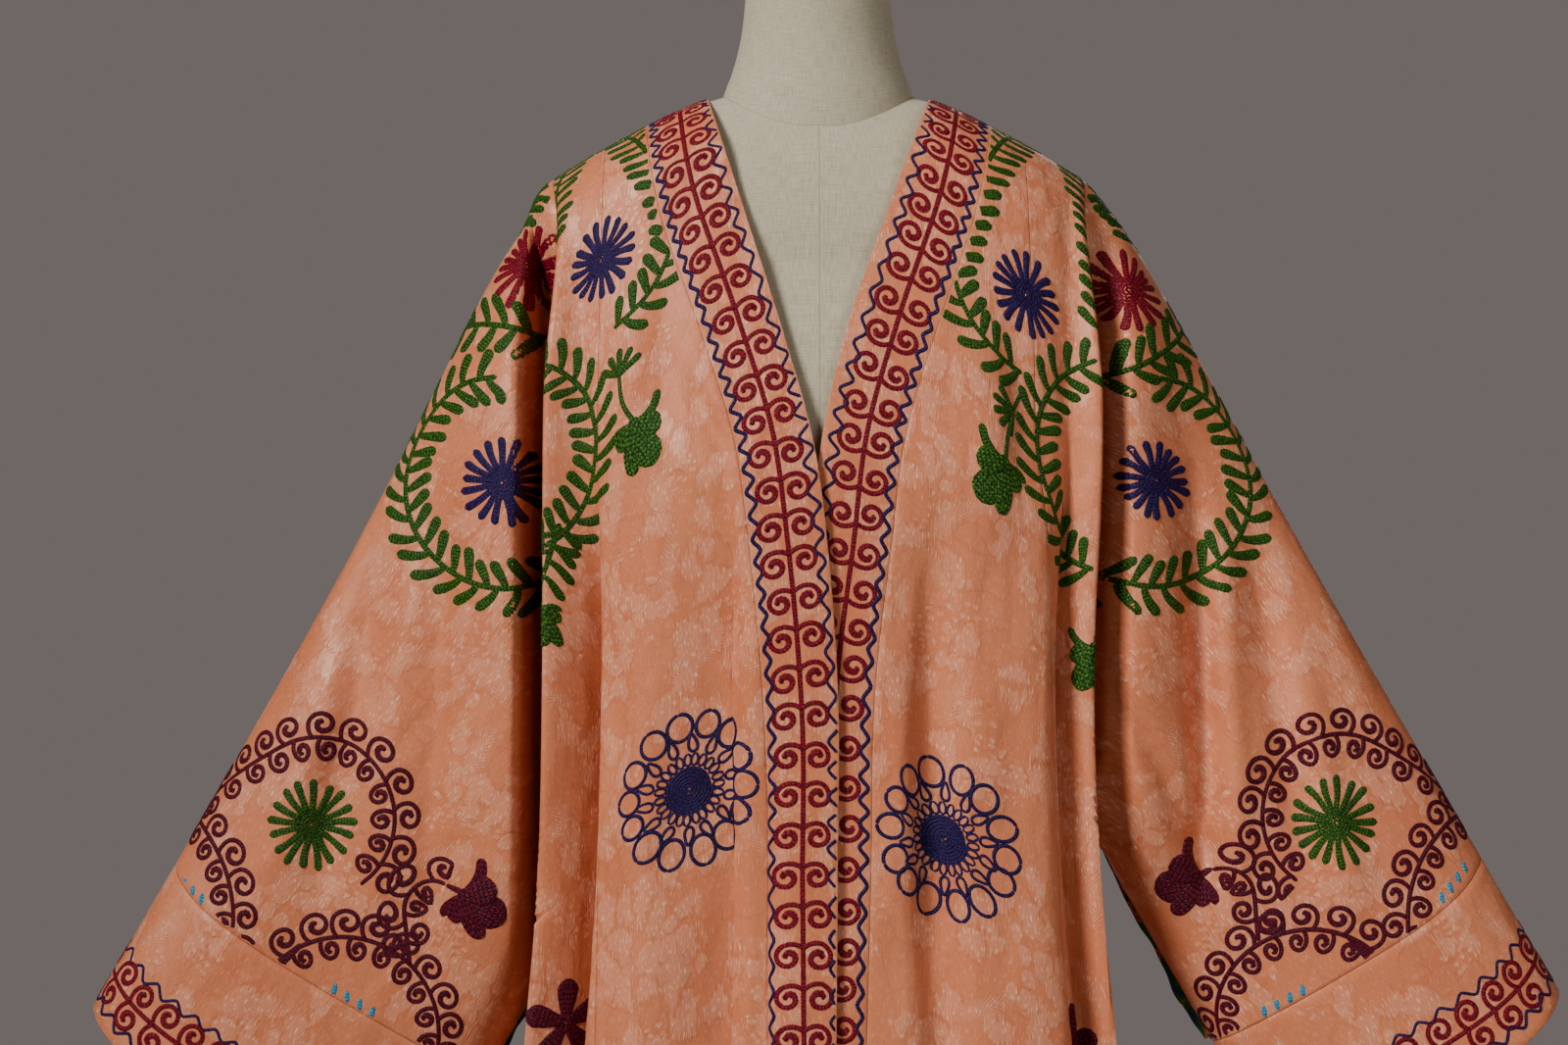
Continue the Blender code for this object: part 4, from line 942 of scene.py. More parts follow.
# ---------------------------------------------------------------- Sleeves and cuffs
# Wide flat tubes set straight into the armholes, seamed along the bottom fold, each with a plain cuff
# sewn round its end. A printed cotton lining peeps out along that seam, more of it toward the cuff.
lining, tree, shader = new_material("printed cotton lining")
place = add_node(tree, "UVMap")
print_place = add_node(tree, "Mapping", {"Vector": place}, Scale=(75.0, 170.0, 1.0))
printed = add_node(tree, "TexNoise", {"Vector": print_place}, Scale=1.0, Detail=2.0)
inks = add_node(tree, "ValToRGB", {0: printed})
inks.color_ramp.interpolation = "CONSTANT"
INKS = ((0.0, "#1a2450"), (0.40, "#1f4420"), (0.50, "#2c5424"), (0.57, "#a65c38"), (0.64, "#6e1628"))
for i, (start, ink) in enumerate(INKS):
    stop = inks.color_ramp.elements[i] if i < 2 else inks.color_ramp.elements.new(start)
    stop.position, stop.color = start, linear(ink)
yarn = add_node(tree, "TexNoise", {"Vector": place}, Scale=1400.0, Detail=1.0)
weave = add_node(tree, "Bump", {"Height": yarn}, Strength=0.4, Distance=0.0003)
fill(shader, {"Base Color": inks, "Normal": weave, "Roughness": 0.8, "Specular IOR Level": 0.2})
LINING_SHOWN = {-1: 0.0042, 1: 0.0068}
LINING_TURNED_IN, LINING_WALL = 0.0080, 0.0009

for side, word in ((-1, "left"), (1, "right")):
    runs = girth(side)
    around = int(round(2 * runs[-1] / CELL))
    u = np.concatenate((
        [-runs[-1], EDGE_ROLL - runs[-1]],
        np.linspace(0.006 - runs[-1], runs[-1] - 0.006, around),
        [runs[-1] - EDGE_ROLL, runs[-1]],
    ))[None, :]
    share = np.interp(np.abs(u), runs, HALF_TURN)
    start, end = sleeve_start(side, share), CUFF_SEAM[side] + cuff_dip(side, share)
    t = np.concatenate(([0.0, 0.003], np.linspace(0.012, 0.99, 110), [0.9975, 1.0]))[:, None]
    v = start + (end - SEAM / 2 - start) * t
    u = u + 0 * t
    points, normals = lay_sleeve(side)(u, v)
    silk_piece(
        f"silk_sleeve_{word}", points, normals, np.stack((u, -v), -1), f"sleeve_{word}",
    )
    t = np.concatenate(([0.0, 0.011], np.linspace(0.06, 0.94, 14), [0.989, 1.0]))[:, None]
    u = u[:1] + 0 * t
    v = end + SEAM / 2 + (CUFF_END[side] - CUFF_SEAM[side]) * t
    points, normals = lay_sleeve(side)(u, v)
    silk_piece(
        f"silk_cuff_{word}", points, normals, np.stack((u, -v), -1), f"cuff_{word}",
    )
    t = np.linspace(0.04, 0.985, 70)[:, None]
    v = start[0, 0] + (end[0, 0] - start[0, 0]) * t
    fold, away = lay_sleeve(side)(0 * v - runs[-1], v)
    shown = LINING_SHOWN[side] * t * (1 + 0.3 * np.sin(t * 17 + side) + 0.1 * np.sin(t * 43))
    off = (shown + LINING_TURNED_IN) * np.linspace(0, 1, 6)[None, :] - LINING_TURNED_IN
    points = fold + away * off[..., None]
    strip = grid_object(f"lining_edge_{word}", points, np.stack((v + 0 * off, off), -1), lining)
    thicken(strip, LINING_WALL, 0.0)
    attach(strip, "root")

# ---------------------------------------------------------------- Chain-stitch thread
# All the flowers are worked with a hook in silk chain stitch: rows of links about 2.4 mm long and
# 1.8 mm wide, laid side by side where a line is thick. They stand about half a millimetre proud.
THREADS = {
    # colour: painted shade between the links, raised thread with painted highlights
    "crimson": ("#35020b", "#ad142f"),
    "green": ("#040d02", "#467c1b"),
    "navy": ("#090315", "#3c226e"),
    "maroon": ("#1a0209", "#7c1232"),
    "turquoise": ("#176888", "#4fb6d8"),
}
LINK, ROW = 0.0024, 0.0018


def thread_material(name, dark, light):
    material, tree, shader = new_material(f"{name} silk thread")
    place = add_node(tree, "UVMap")
    axes = add_node(tree, "SeparateXYZ", {0: place})
    rows = add_node(tree, "Math", {0: axes.outputs["Y"], 1: ROW}, operation="DIVIDE")
    within = add_node(tree, "Math", {0: rows}, operation="FRACT")
    aside = add_node(tree, "Math", {0: within, 1: 0.5}, operation="SUBTRACT")
    apart = add_node(tree, "Math", {0: aside}, operation="ABSOLUTE")
    links = add_node(tree, "Math", {0: axes, 1: LINK}, operation="DIVIDE")
    slanted = add_node(tree, "Math", {0: apart, 1: -1.1, 2: links}, operation="MULTIPLY_ADD")
    turned = add_node(tree, "Math", {0: slanted, 1: 2 * math.pi}, operation="MULTIPLY")
    wave = add_node(tree, "Math", {0: turned}, operation="COSINE")
    round_strand = {"Value": apart, "From Min": 0.28, "From Max": 0.5, "To Min": 1.0, "To Max": 0.25}
    strand = add_node(tree, "MapRange", round_strand, interpolation_type="SMOOTHSTEP")
    loop = add_node(tree, "MapRange", {"Value": wave, "From Min": -1.0, "From Max": 0.6, "To Min": 0.1})
    height = add_node(tree, "Math", {0: strand, 1: loop}, operation="MULTIPLY")
    # The colour is painted light and shade: darker in the low gaps between links and rows, lighter on the
    # raised thread, with random painted highlight flecks.
    uneven_place = add_node(tree, "Mapping", {"Vector": place}, Scale=(540.0, 740.0, 1.0))
    uneven = add_node(tree, "TexNoise", {"Vector": uneven_place}, Scale=1.0, Detail=2.0)
    speck_highlight_range = {"Value": uneven, "From Min": 0.38, "From Max": 0.68, "To Min": 0.15, "To Max": 1.35}
    painted_highlight_speck = add_node(tree, "MapRange", speck_highlight_range)
    painted_link_shading = add_node(tree, "Math", {0: height, 1: painted_highlight_speck}, operation="MULTIPLY", use_clamp=True)
    colour = add_node(tree, "Mix", {0: painted_link_shading, 6: linear(dark), 7: linear(light)}, data_type="RGBA")
    bump = add_node(tree, "Bump", {"Height": height}, Strength=0.8, Distance=0.0005)
    fill(shader, {"Base Color": colour.outputs[2], "Normal": bump})
    fill(shader, {"Roughness": 0.5, "Specular IOR Level": 0.16})
    return material


for name, (dark, light) in THREADS.items():
    THREADS[name] = thread_material(name, dark, light)

def grid_faces(rows, columns, count):
    """The faces of a grid of points, numbered on from this count."""
    first = count + (np.arange(rows - 1)[:, None] * columns + np.arange(columns - 1)[None, :]).reshape(-1)
    return np.stack((first, first + 1, first + columns + 1, first + columns), -1)


# The outer faces of all the silk pieces, so that each stitch lies on the cloth as it is meshed.
count, quads = 0, []
for points in OUTER:
    quads.append(grid_faces(*points.shape[:2], count))
    count += points[..., 0].size
OUTER_TREE = BVHTree.FromPolygons(
    np.concatenate([points.reshape(-1, 3) for points in OUTER]).tolist(), np.concatenate(quads).tolist()
)

# How far inside each place to work a flat point lies, in metres; less than nothing is outside it.
FALLS = fall_of(V_ROWS)
LINES = {}
for side in (-1, 1):
    LINES["edge", side] = u_of(front_line(EDGES, 1 if side < 0 else 3, FALLS), V_ROWS)
    LINES["band", side] = u_of(front_line(EDGES, 2 if side < 0 else 4, FALLS), V_ROWS)
    LINES["arm", side] = u_of(side * arm_line(side, FALLS), V_ROWS)
    LINES["panel", side] = u_of(front_line(PANEL_SEAMS, 1 if side < 0 else 2, FALLS), V_ROWS)
LINES["back", 1] = u_of(math.pi - arm_line(1, FALLS), V_ROWS)
LINES["back", -1] = u_of(math.pi + arm_line(-1, FALLS), V_ROWS)


def line_at(name, side, v):
    return np.interp(v, V_ROWS, LINES[name, side])


def inside_panel(near, far, side, margin):
    """How far inside the two lines that bound a part of one front a point lies."""

    def inside(u, v):
        past, short = u - line_at(near, side, v), line_at(far, side, v) - u
        return np.minimum(side * past, side * short) - margin

    return inside


def lay_back(u, v):
    return lay_body(0)(u + np.interp(v, V_ROWS, BACK_MIDDLE[1]), v)


def inside_back(u, v):
    u = u + np.interp(v, V_ROWS, BACK_MIDDLE[1])
    sides = np.minimum(u - line_at("back", 1, v), line_at("back", -1, v) - u)
    top = run_of(neck_fall(back_x(turn_of(u, 0 * v)), 1.0))
    return np.minimum(sides, v - top) - 0.0015


def inside_sleeve(side):
    def inside(u, v):
        share = np.interp(np.abs(u), girth(side), HALF_TURN)
        top = v - sleeve_start(side, share)
        foot = CUFF_SEAM[side] + cuff_dip(side, share) - v
        return np.minimum(np.minimum(top * 0.5, foot), girth(side)[-1] - np.abs(u)) - 0.0015

    return inside


def inside_cuff(side):
    def inside(u, v):
        seam = CUFF_SEAM[side] + cuff_dip(side, np.interp(np.abs(u), girth(side), HALF_TURN))
        length = CUFF_END[side] - CUFF_SEAM[side]
        return np.minimum(np.minimum(v - seam, seam + length - v), girth(side)[-1] - np.abs(u)) - 0.0012

    return inside


def lay_neck(u, v):
    turn, share = np.interp(u, NECK_RUN, NECK_TURNS), v / BAND_WIDTH
    x = -(BAND_TOP_IN + (BAND_TOP_OUT - BAND_TOP_IN) * share) * np.cos(turn)
    angle = np.where(x < 0, -1, 1) * (math.pi - lean(x))
    return body(angle, neck_fall(x, share)), outward(angle, neck_fall(x, share))


def inside_neck(u, v):
    return np.minimum(np.minimum(v, BAND_WIDTH - v), np.minimum(u, NECK_RUN[-1] - u)) - 0.001


PLACES = {
    # place to work: how it lies, and how far inside it a point is
    "front_left": (lay_body(-1), inside_panel("band", "arm", -1, 0.0012)),
    "front_right": (lay_body(1), inside_panel("band", "arm", 1, 0.0012)),
    "band_left": (lay_body(-1), inside_panel("edge", "band", -1, 0.001)),
    "band_right": (lay_body(1), inside_panel("edge", "band", 1, 0.001)),
    "side_left": (lay_body(-1), inside_panel("panel", "arm", -1, 0.0008)),
    "side_right": (lay_body(1), inside_panel("panel", "arm", 1, 0.0008)),
    "back": (lay_back, inside_back),
    "neck": (lay_neck, inside_neck),
    "sleeve_left": (lay_sleeve(-1), inside_sleeve(-1)),
    "sleeve_right": (lay_sleeve(1), inside_sleeve(1)),
    "cuff_left": (lay_sleeve(-1), inside_cuff(-1)),
    "cuff_right": (lay_sleeve(1), inside_cuff(1)),
}
WORKED = {}


def smooth(points, step=0.003):
    """A smooth line through given points."""
    points = np.asarray(points, float)
    run = run_along(points)
    where = np.linspace(0, run[-1], max(int(run[-1] / step) + 1, 4))
    return np.stack((through(where, run, points[:, 0]), through(where, run, points[:, 1])), -1)


def carry(line, along, aside):
    """Carries places measured along and beside a line onto the flat cloth."""
    run = run_along(line)
    way = np.gradient(line, run, axis=0)
    way /= np.linalg.norm(way, axis=1)[:, None]
    x, y, way_x, way_y = (np.interp(along, run, values) for values in (*line.T, *way.T))
    return np.stack((x - way_y * aside, y + way_x * aside), -1)


def length_of(line):
    return float(np.linalg.norm(np.diff(line, axis=0), axis=1).sum())


def stitch(place, colour, line, width, step=0.0019):
    """Works one line of the pattern: round ends, an even step, and cut off where its cloth ends."""
    line = np.asarray(line, float)
    run = run_along(line)
    total = run[-1]
    width = np.interp(np.linspace(0, 1, 60), np.linspace(0, 1, np.size(width)), np.atleast_1d(width))
    ends = np.array([0.06, 0.25, 0.6])
    where = np.linspace(0, total, max(int(total / step), 3))
    where = np.concatenate((where, ends * width[0] / 2, total - ends * width[-1] / 2))
    where = np.unique(np.clip(where, 0, total))
    points = np.stack([np.interp(where, run, line[:, i]) for i in (0, 1)], -1)
    width = np.interp(where / total, np.linspace(0, 1, 60), width)
    inward = 1 - np.clip(np.minimum(where, total - where) / (width / 2), 0, 1)
    width = width * np.sqrt(np.clip(1 - inward**2, 0.06, 1))
    way = np.gradient(points, where, axis=0)
    way /= np.maximum(np.linalg.norm(way, axis=1), 1e-9)[:, None]
    inside = PLACES[place][1](points[:, 0], points[:, 1]) > 0
    cuts = np.flatnonzero(np.diff(inside.astype(int))) + 1
    for part in np.split(np.arange(len(points)), cuts):
        if len(part) > 2 and inside[part[0]]:
            WORKED.setdefault((place, colour), []).append((points[part], way[part], width[part], where[part]))


CROWN = {
    # places across the line as shares of its width, and heights over the cloth
    4: ((-0.5, -0.26, 0.26, 0.5), (-0.00012, 0.00042, 0.00042, -0.00012)),
    8: (
        (-0.5, -0.43, -0.29, -0.1, 0.1, 0.29, 0.43, 0.5),
        (-0.00012, 0.0004, 0.0005, 0.00055, 0.00055, 0.0005, 0.0004, -0.00012),
    ),
}


def stitched_piece(name, place, colour, strokes, wide):
    """One mesh of all the lines of one colour on one place, either the narrow or the fat ones."""
    across, heights = (np.array(values) for values in CROWN[8 if wide else 4])
    lay, inside = PLACES[place]
    columns = len(across)
    flat, rise, uv, faces, count = [], [], [], [], 0
    for number, (points, way, width, run) in enumerate(strokes):
        off = across[None, :] * width[:, None]
        side_way = np.stack((-way[:, 1], way[:, 0]), -1)
        spots = points[:, None, :] + side_way[:, None, :] * off[..., None]
        deep = inside(points[:, 0], points[:, 1])[:, None]
        there = inside(spots[..., 0], spots[..., 1])
        keep = np.where(there < 0, deep / np.maximum(deep - there, 1e-9), 1.0)
        flat.append((points[:, None, :] + (spots - points[:, None, :]) * keep[..., None]).reshape(-1, 2))
        # Each line lies a hair higher or lower than the next, as crossing rows of stitches do.
        level = (0.00011 if wide else 0.00006) * (number * 3 % 7) * (heights > 0)
        rise.append(np.broadcast_to(heights + level, off.shape).reshape(-1))
        # Fat parts are filled with a thicker chain.
        chain = np.stack((np.broadcast_to(run[:, None] + number * 0.137, off.shape), off + ROW / 2), -1)
        uv.append(chain.reshape(-1, 2) * (0.66 if wide else 1.0))
        faces.append(grid_faces(len(points), columns, count))
        count += len(points) * columns
    flat, rise, uv, faces = (np.concatenate(part) for part in (flat, rise, uv, faces))
    points, normals = lay(flat[:, 0], flat[:, 1])
    for i, point in enumerate(points.tolist()):
        found = OUTER_TREE.find_nearest(point, 0.004)[0]
        if found is not None:
            points[i] = found
    points += normals * rise[:, None]
    mesh = bpy.data.meshes.new(name)
    mesh.from_pydata(points.tolist(), [], faces.tolist())
    first, second, third = points[faces[0][:3]]
    if np.cross(second - first, third - second) @ normals[faces[0][0]] < 0:
        mesh.flip_normals()
    corners = np.empty(len(mesh.loops), dtype=np.int32)
    mesh.loops.foreach_get("vertex_index", corners)
    mesh.uv_layers.new(name="flat").data.foreach_set("uv", uv[corners].reshape(-1).astype(np.float32))
    mesh.materials.append(THREADS[colour])
    thing = bpy.data.objects.new(name, mesh)
    bpy.context.scene.collection.objects.link(thing)
    bpy.ops.object.select_all(action="DESELECT")
    thing.select_set(True)
    bpy.context.view_layer.objects.active = thing
    bpy.ops.object.shade_smooth()
    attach(thing, "root")


rng = np.random.default_rng(11)

# ---------------------------------------------------------------- Scrolls, leaves and flowers
# The motifs, each drawn once in millimetres: growth runs along the stem and the rest lies beside it.
SWEEPS = (
    # degrees along the curl, and how far out it is
    (0, 12.3), (45, 9.8), (90, 8.9), (160, 8.6), (240, 7.6),
    (305, 5.8), (355, 4.0), (400, 3.0), (480, 2.3), (560, 1.5),
)


def scroll(line, along, aside, size, width=0.0040):
    """A curl that leaves the stem, bends back over it in the way of growth, and ends in a dot."""
    sweep = np.linspace(0, 560, 52)
    reach = through(sweep, column(SWEEPS, 0), column(SWEEPS, 1)) * size * rng.uniform(0.94, 1.06)
    turn = np.radians(-116.6 - sweep + rng.uniform(-5, 5))
    grow, out = (5.5 * size + reach * np.cos(turn)) / 1000, (11.0 * size + reach * np.sin(turn)) / 1000
    grow, out = grow - grow[0], out - out[0]
    widths = np.interp(sweep, (0, 60, 330, 450, 560), (width * 0.9, width, width, width * 1.25, width * 1.6))
    return carry(line, along + grow, aside * out), widths


CURL_SPACING, CURL_SIZE, LEAF_SPACING, LEAF_SIZE = 0.022, 0.95, 0.0146, 1.06


def scrolled_stem(place, colour, guide, uneven=1.0):
    """A stem with curls on both sides, the two rows a little out of step."""
    line = smooth(guide)
    total = length_of(line)
    stitch(place, colour, line, (0.0042, 0.0036), 0.003)
    for aside in (-1, 1):
        along = 0.010 + (CURL_SPACING * 0.35 if aside > 0 else 0)
        while along < total - 0.004:
            points, widths = scroll(line, along, aside, CURL_SIZE * (uneven if aside > 0 else 1.0))
            stitch(place, colour, points, widths)
            along += CURL_SPACING * rng.uniform(0.94, 1.06)


def turned(points, turn):
    x, y = np.asarray(points, float).T
    return np.stack((x * math.cos(turn) - y * math.sin(turn), x * math.sin(turn) + y * math.cos(turn)), -1)


LEAF = ((0, 0), (2.2, 5.6), (6.0, 11.6), (10.2, 17.0), (12.2, 19.4))
LEAF_WIDTHS = (4.8, 6.0, 7.5, 8.4, 8.2)


def leaf(place, colour, line, along, aside):
    """A club-shaped leaf, slim at the stem."""
    points = np.array(LEAF) / 1000 * LEAF_SIZE * rng.uniform(0.9, 1.1)
    bend = rng.uniform(-0.12, 0.12)
    grow, out = turned(points, bend).T
    points = smooth(carry(line, along + grow, aside * out), 0.0018)
    stitch(place, colour, points, np.array(LEAF_WIDTHS) / 1000 * LEAF_SIZE, 0.0022)


def leafy_stem(place, colour, guide):
    """A stem with leaves in loose pairs."""
    line = smooth(guide)
    total = length_of(line)
    stitch(place, colour, line, (0.0050, 0.0045), 0.003)
    for aside in (-1, 1):
        along = 0.004 + (LEAF_SPACING * 0.4 if aside > 0 else 0)
        while along < total - 0.006:
            leaf(place, colour, line, along, aside)
            along += LEAF_SPACING * rng.uniform(0.92, 1.08)


def heading(angle):
    return np.array([math.cos(angle), math.sin(angle)])


def disc(place, colour, middle, reach, width=0.0034):
    """A filled round: one line wound inwards."""
    turns = reach / (width * 0.86)
    t = np.linspace(0, 1, int(turns * 26))
    r = (reach - width / 2) * (1 - t) + width * 0.2
    angle = 2 * math.pi * turns * t
    stitch(place, colour, middle + np.stack((r * np.cos(angle), r * np.sin(angle)), -1), width, 0.0026)


def rosette(place, colour, middle, reach, petals=17, core=0.0125):
    """Narrow club petals round a wound core."""
    middle = np.asarray(middle, float)
    disc(place, colour, middle, core)
    start = rng.uniform(0, 1)
    for i in range(petals):
        angle = 2 * math.pi * (i + start + rng.uniform(-0.12, 0.12)) / petals
        way = heading(angle)
        far = math.hypot(way[0] * reach[0], way[1] * reach[1]) * rng.uniform(0.93, 1.05)
        bend = np.array([-way[1], way[0]]) * rng.uniform(-0.0012, 0.0012)
        points = [middle + way * core * 0.75, middle + way * (core + far) / 2 + bend, middle + way * far]
        stitch(place, colour, smooth(points, 0.002), (0.0052, 0.0054, 0.0062, 0.0072), 0.0022)


def loop(place, colour, middle, turn, long, wide, width, pointed=0.0):
    """An open ring, or a drop where it is pointed."""
    t = np.linspace(0, 2 * math.pi, 30)
    ring = np.stack((long * np.cos(t), wide * np.sin(t) * (1 - pointed * np.cos(t))), -1)
    stitch(place, colour, middle + turned(ring, turn), width)


SMALL_LOOPS, LARGE_RINGS = 23, 14


def ring_flower(place, colour, middle, size):
    """A wound disc, a row of small loops, and a wheel of rings with drops between them."""
    middle = np.asarray(middle, float)
    disc(place, colour, middle, 0.0185 * size, 0.0032)
    for i in range(SMALL_LOOPS):
        angle = 2 * math.pi * (i + rng.uniform(-0.1, 0.1)) / SMALL_LOOPS
        way = heading(angle)
        loop(place, colour, middle + way * 0.0220 * size, angle, 0.0044 * size, 0.0026 * size, 0.0021)
    for i in range(LARGE_RINGS):
        angle = 2 * math.pi * (i + rng.uniform(-0.08, 0.08)) / LARGE_RINGS - 1.3
        way = heading(angle)
        wide = rng.uniform(0.0085, 0.0102) * size
        long = rng.uniform(0.0095, 0.0118) * size
        loop(place, colour, middle + way * 0.0475 * size, angle, long, wide, 0.0032)
        angle += math.pi / LARGE_RINGS
        way = heading(angle)
        angle += rng.uniform(-0.3, 0.3)
        loop(place, colour, middle + way * 0.0345 * size, angle, 0.0070 * size, 0.0030 * size, 0.0026, 0.5)


def bud(place, colour, foot, turn, size, mirror=1, long=1.0):
    """A half-open flower: a long sepal, a short one and four fat petals. Turn 0 faces down."""
    foot = np.asarray(foot, float)
    for points, widths in (
        (((0, -2), (-2, 14), (-8, 29), (-12, 43)), (8, 16, 22, 24, 22)),
        (((1, 4), (4, 18), (6, 32), (5, 43)), (8, 12, 14, 13, 11)),
        (((0, 4), (-11, 10), (-21, 15)), (10, 17, 23, 23)),
        (((0, 4), (9, 11), (15, 19)), (9, 13, 16, 15)),
        (((-1, 6), (-11, 3), (-19, -4), (-24, -13)), (10, 9.5, 8, 7)),
        (((1, 6), (9, 4), (15, 4), (20, 8)), (9, 8, 7, 6.5)),
    ):
        points = foot + turned(np.array(points) * (mirror, long) / 1000 * size, turn)
        stitch(place, colour, smooth(points, 0.002), np.array(widths) / 1000 * size, 0.0024)


def open_flower(place, colour, middle, size):
    """Five fat oval petals that meet at the middle."""
    middle = np.asarray(middle, float)
    for i in range(5):
        angle = -math.pi / 2 + 2 * math.pi * (i + rng.uniform(-0.06, 0.06)) / 5
        way = heading(angle)
        points = np.array([middle + way * r * size for r in (0.001, 0.012, 0.024, 0.036)])
        stitch(place, colour, smooth(points, 0.002), np.array((8, 12, 17, 20, 18)) / 1000 * size, 0.0024)


def dots(place, colour, middles, turn):
    """Short fat drops in a row."""
    for middle in middles:
        half = turned([[0, -0.0042], [0, 0.0042]], turn + rng.uniform(-0.15, 0.15))
        stitch(place, colour, smooth(middle + half, 0.002), (0.0032, 0.0048, 0.0042))


def zigzag(place, colour, line, width, pitch, swing):
    """A zigzag with softened corners along a line, a little uneven. The pitch grows downward."""
    along = np.arange(0, length_of(line), 0.0012)
    down = np.interp(along, np.linspace(0, length_of(line), len(line)), line[:, 1])
    wave = np.cumsum(2 * math.pi * 0.0012 / np.interp(down, (0.1, 0.6), pitch)) + 0.7 * np.sin(along * 41)
    off = swing * np.arcsin(0.8 * np.sin(wave)) / 0.93 * (0.9 + 0.2 * np.sin(along * 23))
    stitch(place, colour, carry(line, along, off), width, 0.0016)


def border(place, stem, zigzags, pitch=(0.0256, 0.0292)):
    """The band pattern: a crimson stem with paired scrolls between two navy wavering lines."""
    stitch(place, "crimson", stem, 0.0043, 0.003)
    for line, *shape in zigzags:
        zigzag(place, "navy", line, *shape)
    run = np.linspace(0, length_of(stem), len(stem))
    along = 0.006
    while along < length_of(stem) - 0.004:
        for aside in (-1, 1):
            points, widths = scroll(stem, along, aside, 0.98, 0.0042)
            stitch(place, "crimson", points, widths)
        along += np.interp(np.interp(along, run, stem[:, 1]), (0.1, 0.6), pitch) * rng.uniform(0.96, 1.04)


# ---------------------------------------------------------------- What is worked where
# Bands and cuffs carry crimson scrolls. The shoulders carry green leafy stems round navy rosettes, the
# sleeves maroon curling stems round green rosettes, and the fronts ring flowers. The back and the
# skirt, which are seldom seen, go on with the same flowers.
for side, word in ((-1, "left"), (1, "right")):
    seam = np.stack((LINES["band", side], V_ROWS), -1)
    run = np.linspace(0, length_of(seam), 600)
    inner, stem, outer = (carry(seam, run, side * off) for off in (0.0500, 0.0278, 0.0056))
    zigzags = (inner, 0.0027, (0.0185, 0.0205), 0.0040), (outer, 0.0032, (0.0135, 0.0185), 0.0030)
    border(f"band_{word}", stem if side < 0 else stem[::-1], zigzags)

    reach = girth(side)[-1]
    u = np.linspace(-reach + 0.002, reach - 0.002, 300)
    end = CUFF_END[side] + cuff_dip(side, np.interp(np.abs(u), girth(side), HALF_TURN))
    offsets = (0.054, 0.032, 0.011) if side < 0 else (0.057, 0.035, 0.014)
    inner, stem, outer = (np.stack((u, end - off), -1) for off in offsets)
    zigzags = (inner, 0.0027, (0.0185, 0.0185), 0.0036), (outer, 0.0029, (0.0185, 0.0185), 0.0036)
    border(f"cuff_{word}", stem if side < 0 else stem[::-1], zigzags, (0.026, 0.026))

run = np.linspace(0.001, NECK_RUN[-1] - 0.001, 120)
inner, stem, outer = (np.stack((run, 0 * run + off), -1) for off in (0.0055, 0.0280, 0.0505))
zigzags = (inner, 0.0022, (0.018, 0.018), 0.0032), (outer, 0.0028, (0.0145, 0.0145), 0.0028)
border("neck", stem, zigzags, (0.0235, 0.0235))


def arc(middle, reach, start, end):
    """Part of a ring round a middle, in millimetres and degrees."""
    angle = np.radians(np.linspace(start, end, 14))
    return np.stack((middle[0] + reach * np.cos(angle), middle[1] + reach * np.sin(angle)), -1)


def bowed(start, end, bow):
    """A stem between two places that bows out sideways by so many millimetres."""
    start, end, share = np.array(start, float), np.array(end, float), np.linspace(0, 1, 5)[:, None]
    aside = np.array([end[1] - start[1], start[0] - end[0]]) / np.hypot(*(end - start))
    return start + (end - start) * share + aside * bow * 4 * share * (1 - share)


def wreath(start, middle, reach, way, end):
    """A stem that comes straight from one place, meets a ring round a flower, and follows it to an angle."""
    start, middle = np.array(start, float), np.array(middle, float)
    away = start - middle
    meet = math.degrees(math.atan2(away[1], away[0]) + way * math.acos(reach / np.hypot(*away)))
    ring = arc(middle, reach, meet, end)
    steps = max(2, round(np.hypot(*(ring[0] - start)) / 14))
    straight = start + (ring[0] - start) * np.linspace(0, 1, steps, endpoint=False)[:, None]
    return np.concatenate((straight, ring))


# Every stem is a ring round a flower, a straight run up to one, or a single bow between two places.
LEAFY = (
    # place, millimetres across and down
    ("front_left", wreath((-160, 2), (-170, 150), 60, 1, 80)[::-1]),
    ("front_left", bowed((-226, 130), (-200, 3), 4)),
    ("front_left", arc((-255, 285), 77, 75, -75)),
    ("front_left", bowed((-214, 342), (-252, 392), 2)),
    ("front_right", wreath((160, 2), (160, 185), 60, -1, -268)[::-1]),
    ("front_right", bowed((228, 192), (211, 3), -6)),
    ("front_right", arc((258, 290), 86, 100, 245)),
)
BUDS = (
    # place, colour, stem, turn of the bud in degrees, size, and -1 where the long sepal is on the right
    ("front_left", "green", bowed((-154, 246), (-143, 286), -3), -8, 0.96, -1),
    ("front_right", "green", bowed((157, 262), (141, 316), -3), 14, 1.0, 1),
    ("front_left", "green", bowed((-246, 380), (-257, 400), 1), 10, 0.85, 1),
    ("front_right", "green", bowed((262, 396), (253, 432), 1), 0, 0.85, 1),
)
TUFTS = (("front_left", (-154, 248), -90), ("front_right", (150, 278), 165))
ROSETTES = (
    # place, colour, middle in millimetres, reach across and down
    ("front_left", "navy", (-171, 151), (29, 32)),
    ("front_right", "navy", (160, 184), (30, 33)),
)
RING_FLOWERS = (("front_left", (-104, 575), 1.0), ("front_right", (100, 612), 1.02))


